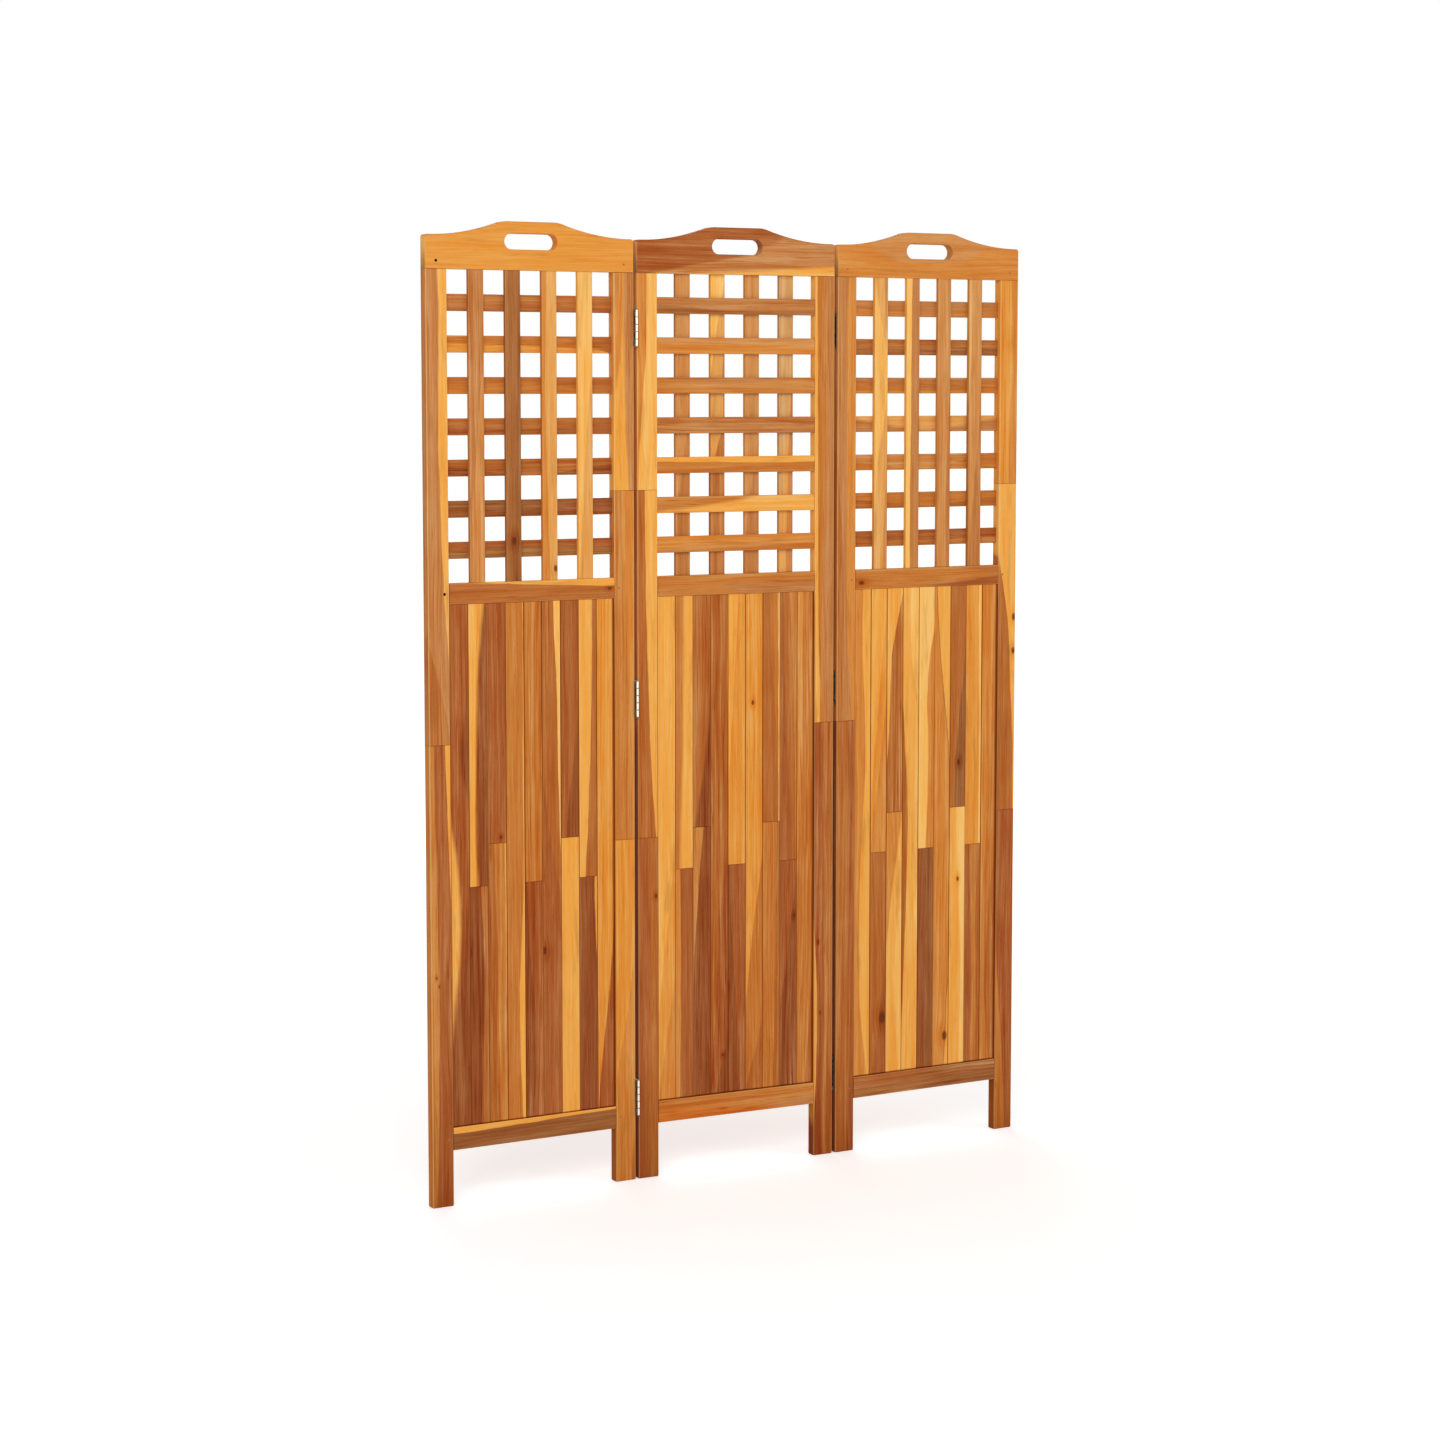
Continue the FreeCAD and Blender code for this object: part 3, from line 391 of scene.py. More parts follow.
# dark seams and joints: a stain with painted shade, also on shaded sides
SEAM_AND_SHADE_COLOUR, SEAM_AND_SHADE_STRENGTH = (80, 22, 0), 0.9
BOARD_SEAM_AND_SHADE_COLOUR, BOARD_SEAM_AND_SHADE_STRENGTH = (112, 42, 0), 1.35
# pale wear with a painted highlight on rounded edges and the top rail's ends
WEAR_AND_HIGHLIGHT_COLOUR = (255, 205, 130)

# The oiled surface. Its gloss is weak, and the tones are lifted by a painted sheen in its place.
WOOD_GLOSS = 0.06
TONE_SHEEN_LIFT = 0.0098
FINE_RANGE = (0.3, 0.75)
WOOD_ROUGHNESS = (0.50, 0.64)
PORE_SINK = -0.9
WOOD_BUMP = (0.28, 0.0003)

# Steel: noise per metre along each axis, for drawn lines and patches of tarnish. Each bump is a
# strength and a depth.
LINES = (900.0, 900.0, 60.0)
PATCHES = (160.0, 160.0, 160.0)
STEEL_DETAIL = 3.0
LINE_RANGE = (0.3, 0.7)
PATCH_RANGE = (0.35, 0.75)
LINE_ROUGHNESS = 0.14
TARNISH = 0.8
STEEL_BUMP = (0.15, 0.0001)

# Hinges: five knuckles each, in colours of plated steel, of a painted highlight on the barrel and
# of grime with painted shade
KNUCKLE_COUNT = 5
BARREL_RADIUS = 0.003
BARREL_HIGHLIGHT = (240, 234, 218)
LEAF_BRIGHT = (172, 167, 156)
LEAF_DULL = (150, 144, 132)
GRIME_AND_SHADE = (70, 48, 26)
HINGE_ROUGHNESS = 0.22
# Shares of the barrel's radius where it ends and where its flanks darken with grime and painted
# shade, and shares of a knuckle, from its middle, where the grime and painted shade beside it
# set in
BARREL_RIM_SHARES = (1.05, 1.25)
FLANK_SHARES = (0.45, 0.85)
PARTING_SHARES = (0.38, 0.49)
PARTING_GRIME_AND_SHADE = 0.8

# Filler over a sunk nail
FILLER_LIGHT = (196, 116, 62)
FILLER_DEEP = (150, 78, 40)
FILLER_GRAINS = (2600.0, 2600.0, 2600.0)
FILLER_DETAIL = 2.0
FILLER_ROUGHNESS = 0.7
FILLER_BUMP = (0.4, 0.0002)

# Nails: their heads and their places
NAIL_RADIUS = 0.0019
DARK_NAIL_RADIUS = 0.0026
NAIL_PROUD = 0.00012
NAIL_SIDES = 14
RAIL_NAIL_INSET = 0.009
TOP_NAIL_RISE = 0.014
# A head's rings from the wood outwards, as shares of its radius and of NAIL_PROUD
NAIL_RING_SHARES = ((1.0, -2.0), (1.0, 0.2), (0.8, 0.8), (0.4, 1.0))
# Nails with a dark head, by panel, side and row from the top. The others are filled.
DARK_NAILS = {("left", -1, 0), ("left", -1, 1), ("middle", 1, 2)}

# The floor's reach each way, and the distances between which it is lifted to white
FLOOR_REACH = 60.0
FLOOR_SQUARES = 8
FLOOR_COLOUR = (0.86, 0.86, 0.86, 1.0)
FLOOR_ROUGHNESS = 0.9
FLOOR_GLOSS = 0.1
FLOOR_LIFT_RANGE = (1.2, 4.5)
FLOOR_LIFTS = (0.40, 0.66)
WHITE = (1.0, 1.0, 1.0, 1.0)

# The world's strength, and each lamp's place, target, size and power
DAYLIGHT = 0.47
LAMPS = {
    "key": ((-3.2, -4.6, 3.6), (0.0, 0.0, 0.9), 3.0, 152.0),
    "fill": ((4.2, -3.6, 2.2), (0.0, 0.0, 0.8), 3.0, 50.0),
    "back": ((1.5, 4.5, 3.2), (0.0, 0.0, 0.9), 3.0, 65.0),
}

# The camera, fitted to the photograph
SENSOR = 36.0
LENS = 77.10
CAMERA_PLACE = Vector((-2.6097, -4.8874, 1.4187))
CAMERA_HEADING = math.radians(27.825)
CAMERA_PITCH = math.radians(-5.374)
CAMERA_SHIFT = -0.03
SIGHT = 200.0


def linear(colour):
    """A display colour of 0 to 255 as linear light."""
    def channel(value):
        share = value / 255
        return share / 12.92 if share <= 0.04045 else ((share + 0.055) / 1.055) ** 2.4
    return tuple(channel(value) for value in colour)


def paint(colour):
    """A display colour as a colour socket takes it."""
    return (*linear(colour), 1.0)


class Tree:
    """The nodes of a material or a world, with short calls for the kinds used here."""

    def __init__(self, owner, shader="Principled BSDF"):
        owner.use_nodes = True
        self.owner = owner
        self.nodes = owner.node_tree.nodes
        self.links = owner.node_tree.links
        self.shader = self.nodes[shader]

    def put(self, value, socket):
        """Link a socket, or write a constant into it."""
        if isinstance(value, bpy.types.NodeSocket):
            self.links.new(value, socket)
        elif value is not None:
            socket.default_value = value

    def give(self, name, value):
        """Link or write one of the shader's own values."""
        self.put(value, self.shader.inputs[name])

    def attribute(self, name):
        node = self.nodes.new("ShaderNodeAttribute")
        node.attribute_name = name
        return node.outputs["Vector"]

    def place(self):
        """The place in the object's own frame."""
        return self.nodes.new("ShaderNodeTexCoord").outputs["Object"]

    def rays(self):
        return self.nodes.new("ShaderNodeLightPath").outputs

    def math(self, operation, first, second=None, third=None, clamp=False):
        node = self.nodes.new("ShaderNodeMath")
        node.operation = operation
        node.use_clamp = clamp
        for value, socket in zip((first, second, third), node.inputs):
            self.put(value, socket)
        return node.outputs[0]

    def vector(self, operation, first, second=None):
        node = self.nodes.new("ShaderNodeVectorMath")
        node.operation = operation
        self.put(first, node.inputs[0])
        self.put(second, node.inputs[1])
        return node.outputs["Value" if operation == "LENGTH" else "Vector"]

    def split(self, vector):
        node = self.nodes.new("ShaderNodeSeparateXYZ")
        self.put(vector, node.inputs[0])
        return node.outputs

    def join(self, x, y, z):
        node = self.nodes.new("ShaderNodeCombineXYZ")
        for value, socket in zip((x, y, z), node.inputs):
            self.put(value, socket)
        return node.outputs[0]

    def noise(self, place, detail, roughness=NOISE_ROUGHNESS):
        """Noise with features about one unit of the place wide."""
        node = self.nodes.new("ShaderNodeTexNoise")
        self.put(place, node.inputs["Vector"])
        node.inputs["Scale"].default_value = 1.0
        node.inputs["Detail"].default_value = detail
        node.inputs["Roughness"].default_value = roughness
        return node.outputs["Fac"]

    def sway(self, noise, reach, start=0.0):
        """The start value, moved both ways by a noise."""
        return self.math("MULTIPLY_ADD", self.math("SUBTRACT", noise, 0.5), reach, start)

    def ramp(self, value, low, high, low_out=0.0, high_out=1.0, smooth=True):
        node = self.nodes.new("ShaderNodeMapRange")
        node.interpolation_type = "SMOOTHSTEP" if smooth else "LINEAR"
        for entry, socket in zip((value, low, high, low_out, high_out), node.inputs):
            self.put(entry, socket)
        return node.outputs[0]

    def mix(self, share, first, second):
        """Two colours mixed, by the node's colour sockets."""
        node = self.nodes.new("ShaderNodeMix")
        node.data_type = "RGBA"
        self.put(share, node.inputs["Factor"])
        self.put(first, node.inputs[6])
        self.put(second, node.inputs[7])
        return node.outputs[2]

    def gamma(self, colour, power):
        node = self.nodes.new("ShaderNodeGamma")
        self.put(colour, node.inputs["Color"])
        self.put(power, node.inputs["Gamma"])
        return node.outputs[0]

    def bump(self, height, strength, distance):
        node = self.nodes.new("ShaderNodeBump")
        node.inputs["Strength"].default_value = strength
        node.inputs["Distance"].default_value = distance
        self.put(height, node.inputs["Height"])
        self.give("Normal", node.outputs[0])


class Grain:
    """A timber's place across, through and along it, and noises that follow its grain."""

    def __init__(self, tree, parting):
        self.tree = tree
        self.across, self.through, self.along = tree.split(tree.attribute("grain"))
        # the grain wanders slowly along the timber and parts round the knots
        wander = tree.sway(self.cloud(*WANDER), WANDER_REACH)
        self.course = tree.math("ADD", tree.math("ADD", self.across, wander), parting)

    def cloud(self, often_across, often_along, detail):
        """Noise that changes so often per metre."""
        tree = self.tree
        return tree.noise(tree.join(
            tree.math("MULTIPLY", self.across, often_across),
            tree.math("MULTIPLY", self.through, often_across),
            tree.math("MULTIPLY", self.along, often_along)), detail)

    def streaks(self, width, length, detail):
        """Noise drawn out along the grain, with features about so wide and long."""
        tree = self.tree
        return tree.noise(tree.join(
            tree.math("DIVIDE", self.course, width),
            tree.math("DIVIDE", self.through, width),
            tree.math("DIVIDE", self.along, length)), detail, STREAK_ROUGHNESS)


def knot_nodes(tree):
    """How much a place lies in a knot's halo and in its core, and how far the grain parts there."""
    halo, core, parting = 0.0, 0.0, 0.0
    for layer in ("knot_a", "knot_b"):
        offset = tree.attribute(layer)
        sideways, _along, radius = tree.split(offset)
        reach = tree.vector("LENGTH", tree.vector("MULTIPLY", offset, KNOT_STRETCH))
        reach = tree.math("DIVIDE", reach, radius)
        near = tree.ramp(reach, *HALO_RANGE, 1.0, 0.0)
        parting = tree.math("MULTIPLY_ADD", tree.math("MULTIPLY", sideways, near), KNOT_PARTING, parting)
        halo = tree.math("MAXIMUM", near, halo)
        core = tree.math("MAXIMUM", tree.ramp(reach, *CORE_RANGE, 1.0, 0.0), core)
    return halo, core, parting


def tone_nodes(tree, grain, softness):
    """The tones with wavy boundaries between them, and how near a place is to a boundary."""
    waviness = tree.sway(grain.cloud(*WAVE), WAVE_REACH)
    colour, border = tree.attribute("tone_a"), 0.0
    for edge, tone in zip(tree.split(tree.attribute("bands")), ("tone_b", "tone_c")):
        moved = tree.math("ADD", edge, waviness)
        share = tree.ramp(tree.math("DIVIDE", moved, softness), -1.0, 1.0)
        colour = tree.mix(share, colour, tree.attribute(tone))
        beside = tree.ramp(tree.math("ABSOLUTE", moved), 0.0, BORDER_REACH, 1.0, 0.0)
        border = tree.math("MAXIMUM", beside, border)
    return colour, border


def figure_nodes(tree, grain, strength):
    """The broad figure: above one it deepens and reddens the colour, below one it lightens it."""
    power = tree.sway(grain.streaks(*BROAD), BROAD_DEPTH)
    power = tree.sway(grain.streaks(*MIDDLE), MIDDLE_DEPTH, power)
    power = tree.sway(grain.cloud(*CLOUD), CLOUD_DEPTH, power)
    vein = tree.math("ABSOLUTE", tree.math("SUBTRACT", grain.streaks(*VEINS), 0.5))
    power = tree.math("MULTIPLY_ADD", tree.ramp(vein, *VEIN_RANGE, 1.0, 0.0), VEIN_DEPTH, power)
    return tree.math("MULTIPLY_ADD", power, strength, 1.0)


def acacia(name, figure, stain_and_shade=SEAM_AND_SHADE_STRENGTH, stain_and_shade_colour=SEAM_AND_SHADE_COLOUR):
    """Oiled acacia that follows the attributes of a timber's mesh.

    grain is the place in the timber: across, through and along it. bands holds the distance past
    each of two boundaries between tones. look holds the boundaries' softness, whether they are
    lined and the strength of the figure. edge holds the darkening of seams and joints with painted
    shade, the wear with a painted highlight on rounded edges and the distance to a stile beside the
    timber. figure scales the broad figure, and stain the colour of the seams and painted shade.
    """
    tree = Tree(bpy.data.materials.new(name))
    softness, lined, strength = tree.split(tree.attribute("look"))
    seam_and_shade, wear_and_highlight, clear = tree.split(tree.attribute("edge"))
    # painted shadow on the last board beside the right stile
    contact_shadow = tree.ramp(clear, CONTACT_NEAR, CONTACT_FAR, CONTACT_SHADE, 0.0)
    seam_and_shade = tree.math("MAXIMUM", seam_and_shade, contact_shadow)
    halo, core, parting = knot_nodes(tree)
    grain = Grain(tree, parting)
    fine = grain.streaks(*FINE)
    pores = tree.ramp(grain.streaks(*PORES), *PORE_RANGE)

    colour, border = tone_nodes(tree, grain, softness)
    power = figure_nodes(tree, grain, tree.math("MULTIPLY", strength, figure))
    power = tree.sway(fine, FINE_DEPTH, power)
    for value, depth in ((pores, PORE_DEPTH), (halo, KNOT_DEPTH), (seam_and_shade, SEAM_AND_SHADE_DEPTH)):
        power = tree.math("MULTIPLY_ADD", value, depth, power)
    colour = tree.gamma(colour, tree.math("MAXIMUM", power, LEAST_POWER))

    # olive smudges, a dark line where sapwood meets heartwood, and the knots
    smudge = tree.ramp(grain.streaks(*SMUDGES), *SMUDGE_RANGE, 0.0, SMUDGE_STRENGTH)
    colour = tree.mix(smudge, colour, paint(SMUDGE_COLOUR))
    border = tree.math("MULTIPLY", tree.math("MULTIPLY", border, lined), BORDER_STRENGTH)
    colour = tree.mix(border, colour, paint(BORDER_COLOUR))
    colour = tree.mix(tree.math("MULTIPLY", core, KNOT_STRENGTH), colour, paint(KNOT_COLOUR))

    # dark seams and joints with painted shade, and long edges worn pale with a painted highlight
    colour = tree.mix(tree.math("MULTIPLY", seam_and_shade, stain_and_shade, clamp=True), colour, paint(stain_and_shade_colour))
    dark = tree.math("MAXIMUM", seam_and_shade, core)
    wear_and_highlight = tree.math("MULTIPLY", wear_and_highlight, tree.math("SUBTRACT", 1.0, dark, clamp=True))
    tree.give("Base Color", tree.mix(wear_and_highlight, colour, paint(WEAR_AND_HIGHLIGHT_COLOUR)))

    gloss = tree.ramp(fine, *FINE_RANGE, *WOOD_ROUGHNESS)
    tree.give("Roughness", tree.math("MAXIMUM", gloss, seam_and_shade))
    tree.give("Specular IOR Level", WOOD_GLOSS)
    tree.bump(tree.math("MULTIPLY_ADD", pores, PORE_SINK, fine), *WOOD_BUMP)
    return tree.owner


def draw_steel(tree, roughness):
    """Make the shader metal with faint drawn lines. Returns how tarnished a place is."""
    lines = tree.noise(tree.vector("MULTIPLY", tree.place(), LINES), STEEL_DETAIL)
    patches = tree.noise(tree.vector("MULTIPLY", tree.place(), PATCHES), STEEL_DETAIL)
    tree.give("Metallic", 1.0)
    tree.give("Roughness", tree.ramp(lines, *LINE_RANGE, roughness, roughness + LINE_ROUGHNESS))
    tree.bump(lines, *STEEL_BUMP)
    return tree.ramp(patches, *PATCH_RANGE)


def steel(name, colour, roughness):
    """Plated steel with a little tarnish."""
    tree = Tree(bpy.data.materials.new(name))
    tarnish = draw_steel(tree, roughness)
    dull = (*(value * TARNISH for value in linear(colour)), 1.0)
    tree.give("Base Color", tree.mix(tarnish, paint(colour), dull))
    return tree.owner


def hinge_steel(hinge, side):
    """Steel with a painted highlight on the barrel, and dirt with painted shade at its flanks and knuckle
    gaps.
    """
    low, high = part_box(f"{hinge}_fixed_leaf")
    pin = JOINTS[f"{side}_panel"]["pos_m"]
    knuckle = (high[Z] - low[Z]) / KNUCKLE_COUNT
    tree = Tree(bpy.data.materials.new(f"{hinge}_steel"))
    tarnish = draw_steel(tree, HINGE_ROUGHNESS)
    x, y, z = tree.split(tree.vector("SUBTRACT", tree.place(), (pin[X], pin[Y], low[Z])))
    x = tree.math("DIVIDE", x, BARREL_RADIUS)
    y = tree.math("DIVIDE", y, BARREL_RADIUS)
    reach = tree.math("SQRT", tree.math("MULTIPLY_ADD", x, x, tree.math("MULTIPLY", y, y)))
    barrel = tree.ramp(reach, *BARREL_RIM_SHARES, 1.0, 0.0)
    flank = tree.ramp(tree.math("ABSOLUTE", x), *FLANK_SHARES)
    turn = tree.math("FRACT", tree.math("DIVIDE", z, knuckle))
    from_middle = tree.math("ABSOLUTE", tree.math("SUBTRACT", turn, 0.5))
    parting = tree.ramp(from_middle, *PARTING_SHARES, 0.0, PARTING_GRIME_AND_SHADE)
    grime_and_shade = tree.math("MULTIPLY", barrel, tree.math("MAXIMUM", flank, parting))
    colour = tree.mix(tarnish, paint(LEAF_BRIGHT), paint(LEAF_DULL))
    colour = tree.mix(barrel, colour, paint(BARREL_HIGHLIGHT))
    tree.give("Base Color", tree.mix(grime_and_shade, colour, paint(GRIME_AND_SHADE)))
    return tree.owner


def nail_filler(name):
    """Reddish filler over a sunk nail."""
    tree = Tree(bpy.data.materials.new(name))
    grains = tree.noise(tree.vector("MULTIPLY", tree.place(), FILLER_GRAINS), FILLER_DETAIL)
    tree.give("Base Color", tree.mix(grains, paint(FILLER_LIGHT), paint(FILLER_DEEP)))
    tree.give("Roughness", FILLER_ROUGHNESS)
    tree.bump(grains, *FILLER_BUMP)
    return tree.owner


ACACIA = {
    "top_rail": acacia("acacia_top_rail", 0.85),
    "stile": acacia("acacia_stile", 1.0),
    "rail": acacia("acacia_rail", 0.9),
    "slat": acacia("acacia_slat", 0.95),
    "board": acacia("acacia_board", 1.0, BOARD_SEAM_AND_SHADE_STRENGTH, BOARD_SEAM_AND_SHADE_COLOUR),
}
SCREW_STEEL = steel("screw_steel", (104, 98, 88), 0.32)
NAIL_STEEL = steel("nail_steel", (48, 20, 10), 0.6)
FILLER = nail_filler("nail_filler")


def read_timber(text):
    """The tones and boundaries of one timber. The boundaries become shares of its width."""
    tones, edges = [], []
    for word in text.split():
        if word in MANNERS:
            continue
        if word in TONES:
            # each tone is lifted by the painted sheen
            tones.append(tuple(value + TONE_SHEEN_LIFT for value in linear(TONES[word])))
            edges.append([])
        else:
            edges[-1].append(float(word) / 100)
    return tones, edges[:-1]


def along_list(values, share):
    """A smooth curve through evenly spaced values, read at a share of its length."""
    if len(values) == 1:
        return values[0]
    place = min(max(share, 0.0), 1.0) * (len(values) - 1)
    index = min(int(place), len(values) - 2)
    step = place - index
    before = values[max(index - 1, 0)]
    start, end = values[index], values[index + 1]
    after = values[min(index + 2, len(values) - 1)]
    return 0.5 * (
        2 * start
        + (end - before) * step
        + (2 * before - 5 * start + 4 * end - after) * step ** 2
        + (3 * start - before - 3 * end + after) * step ** 3
    )


LAYERS = ("grain", "tone_a", "tone_b", "tone_c", "bands", "look", "edge", "knot_a", "knot_b")


class Timber:
    """What the wood material reads: a timber's tones, boundaries, knots and place in its grain.

    seam is the most that its sides are darkened, by dark seams and painted shade, unless sides
    tells it for each of the two. beside is where a stile stands next to it, whose shadow is painted.
    """

    def __init__(self, text, low, high, along, knots=(), seam_and_shade=0.0, wear_and_highlight=EDGE_WEAR_AND_HIGHLIGHT, sides=None, beside=None):
        self.tones, self.edges = read_timber(text)
        self.low, self.high, self.along = Vector(low), Vector(high), along
        self.across = Z if along == X else X
        self.width = self.high[self.across] - self.low[self.across]
        self.length = self.high[along] - self.low[along]
        draw = random.Random(f"{text} {low[X]:.3f} {low[Z]:.3f}")
        self.start = Vector([draw.uniform(*GRAIN_STARTS) for _axis in range(3)])
        shades = [draw.uniform(*SEAM_AND_SHADE_SHARES) * seam_and_shade for _side in range(2)]
        self.sides = sides or [(shade, shade, 0.0) for shade in shades]
        self.wear_and_highlight = wear_and_highlight
        self.beside = beside
        softness = SOFT if "soft" in text else CRISP
        lined = 1.0 if "lined" in text else 0.0
        self.look = Vector((softness, lined, draw.uniform(*FIGURE_STRENGTHS)))
        self.knots = [knot for knot in knots if low[Z] < knot[1] < high[Z]]

    def write(self, layers, vertex, point, turn=math.pi / 2, end=0.0):
        """Store the timber's values for one vertex at a point of the panel's frame.

        turn is the way that the timber's section faces there, and end the shade of an end.
        """
        across = point[self.across] - self.low[self.across]
        passed = point[self.along] - self.low[self.along]
        vertex[layers["grain"]] = self.start + Vector((across, point[Y], point[self.along]))
        vertex[layers["bands"]] = self.bands(across, passed)
        vertex[layers["look"]] = self.look
        vertex[layers["edge"]] = self.edge(point, turn, end)
        tones = self.tones + [self.tones[-1]] * (3 - len(self.tones))
        for layer, tone in zip(("tone_a", "tone_b", "tone_c"), tones):
            vertex[layers[layer]] = Vector(tone)
        offsets = [self.knot_offset(knot, point, across, passed) for knot in self.knots]
        for layer, offset in zip(("knot_a", "knot_b"), offsets + [Vector(NO_KNOT)] * 2):
            vertex[layers[layer]] = offset

    def bands(self, across, passed):
        """The distance past each boundary."""
        share = passed / self.length
        share = 1 - share if self.along == Z else share
        past = [across - along_list(edge, share) * self.width for edge in self.edges]
        past += [-FAR] * (2 - len(past))
        return Vector((*past, 0.0))

    def edge(self, point, turn, end):
        """The darkening of seams and joints with painted shade, the wear with a painted highlight, and
        the distance to a stile.
        """
        above, below, level = self.sides[0] if math.cos(turn) < 0 else self.sides[1]
        side = above if point[Z] > level else below
        foot = max(0.0, 1 - point[Z] / FOOT_REACH) if self.low[Z] == 0 else 0.0
        # dark seams and joints, painted shade on sides and ends, and stiles darker near the floor
        seam_and_shade = max(side * math.sqrt(abs(math.cos(turn))), end, foot * FOOT_SHADE)
        # wear with a painted highlight along the middle of each rounded edge
        wear_and_highlight = self.wear_and_highlight * abs(math.sin(2 * turn))
        clear = FAR if self.beside is None else abs(point[X] - self.beside)
        return Vector((seam_and_shade, wear_and_highlight, clear))

    def knot_offset(self, knot, point, across, passed):
        """The way from a knot's middle across and along the timber, and the knot's radius."""
        percent, height, front_radius = knot
        depth = (point[Y] - self.low[Y]) / (self.high[Y] - self.low[Y])
        radius = front_radius * (1 - KNOT_TAPER * depth)
        if self.along == Z:
            return Vector((across - percent / 100 * self.width, point[Z] - height, radius))
        return Vector((point[Z] - height, passed - percent / 100 * self.length, radius))


def new_wood(mesh=None):
    """A mesh in the making, with the layers that the wood reads."""
    bm = bmesh.new()
    if mesh:
        bm.from_mesh(mesh)
    layers = {name: bm.verts.layers.float_vector.new(name) for name in LAYERS}
    return bm, layers


def section(low_a, low_b, high_a, high_b, ease):
    """A rectangle with rounded corners, as points of two coordinates and a direction."""
    points = []
    corners = [
        (high_a - ease, high_b - ease, 0),
        (low_a + ease, high_b - ease, 1),
        (low_a + ease, low_b + ease, 2),
        (high_a - ease, low_b + ease, 3),
    ]
    for centre_a, centre_b, quarter in corners:
        for step in range(CORNER_STEPS + 1):
            turn = (quarter + step / CORNER_STEPS) * math.pi / 2
            side, depth = centre_a + ease * math.cos(turn), centre_b + ease * math.sin(turn)
            points.append((side, depth, turn))
    return points


def skin(bm, rings):
    """Faces round a row of rings and over its two ends."""
    faces = []
    size = len(rings[0])
    for lower, upper in zip(rings, rings[1:]):
        for index in range(size):
            following = (index + 1) % size
            corners = (lower[index], lower[following], upper[following], upper[index])
            faces.append(bm.faces.new(corners))
    faces.append(bm.faces.new(list(reversed(rings[0]))))
    faces.append(bm.faces.new(rings[-1]))
    return faces


def stations(timber, foot, joints):
    """The timber's rings: the place, how far the ring is drawn in and the shade of an end."""
    low, high = timber.low[timber.along], timber.high[timber.along]
    count = max(2, math.ceil(timber.length / RING_EVERY) + 1)
    step = timber.length / (count - 1)
    rings = [(low + step * index, 0.0, 0.0) for index in range(count)]
    if foot:
        part = foot * (1 - math.sqrt(0.5))
        rings[:1] = [(low, foot, 0.0), (low + part, part, 0.0), (low + foot, 0.0, 0.0)]
    if joints[0]:
        # a board's foot on the bottom rail gets a painted shadow, other ends a dark joint line
        on_rail = timber.along == Z and low == BOTTOM_RAIL[1]
        shade, line = (BOARD_FOOT_SHADE, BOARD_FOOT_LINE) if on_rail else (JOINT_SHADE, JOINT_LINE)
        rings[:1] = [(low, 0.0, shade), (low + line, 0.0, 0.0)]
    if joints[1]:
        rings[-1:] = [(high - JOINT_LINE, 0.0, 0.0), (high, 0.0, JOINT_SHADE)]
    return rings


def add_stick(bm, layers, timber, ease, foot=0.0, joints=(True, True)):
    """A timber with rounded long edges. A foot above zero also eases its lower end.

    joints tells whether its lower and upper ends meet other wood, with a thin dark line.
    """
    low, high, across = timber.low, timber.high, timber.across
    rings = []
    for place, inset, end in stations(timber, foot, joints):
        ring = []
        outline = section(
            low[across] + inset, low[Y] + inset, high[across] - inset, high[Y] - inset, ease
        )
        for side, depth, turn in outline:
            point = Vector((0.0, depth, 0.0))
            point[across], point[timber.along] = side, place
            vertex = bm.verts.new(point)
            timber.write(layers, vertex, point, turn, end)
            ring.append(vertex)
        rings.append(ring)
    skin(bm, rings)


def panel_place(panel):
    """Where a panel's frame is at rest: an outer one is swung about its joint's pin line."""
    if panel == "middle":
        return Matrix.Identity(4)
    joint = JOINTS[f"{panel}_panel"]
    pin = Vector(joint["pos_m"])
    own_pin = Vector((-pin.x, pin.y, pin.z))
    turn = -math.radians(joint["range_deg"][0])
    return Matrix.Translation(pin) @ Matrix.Rotation(turn, 4, "Z") @ Matrix.Translation(-own_pin)


def place_piece(bm, panel, node, materials):
    """Turn the mesh into a piece that stands for a CAD node and rides on its panel."""
    bmesh.ops.recalc_face_normals(bm, faces=bm.faces)
    name = f"{panel}_{node}"
    mesh = bpy.data.meshes.new(name)
    bm.to_mesh(mesh)
    bm.free()
    mesh.polygons.foreach_set("use_smooth", [True] * len(mesh.polygons))
    for material in materials:
        mesh.materials.append(material)
    piece = bpy.data.objects.new(name, mesh)
    bpy.context.scene.collection.objects.link(piece)
    piece.matrix_world = panel_place(panel)
    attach(piece, f"{panel}_panel")
    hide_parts(f"{panel}_panel_{node}")
    return piece


def place_wood(bm, panel, node, kind):
    """A wooden piece, whose flat faces stay flat between its rounded edges."""
    piece = place_piece(bm, panel, node, [ACACIA[kind]])
    even = piece.modifiers.new("flat faces stay flat", "WEIGHTED_NORMAL")
    even.keep_sharp = True


def lattice_layers(panel):
    """Front and back of the panel's uprights, then of its crossbars."""
    front, back = (BAR_FRONT, BAR_BACK), (-BAR_BACK, -BAR_FRONT)
    return (back, front) if panel == "middle" else (front, back)


def make_stick(panel, node, kind, text, low, high, along, ease, seam_and_shade=0.0):
    """A sub-part that is one timber."""
    bm, layers = new_wood()
    timber = Timber(text, low, high, along, KNOTS.get((panel, node), ()), seam_and_shade=seam_and_shade)
    add_stick(bm, layers, timber, ease)
    place_wood(bm, panel, node, kind)


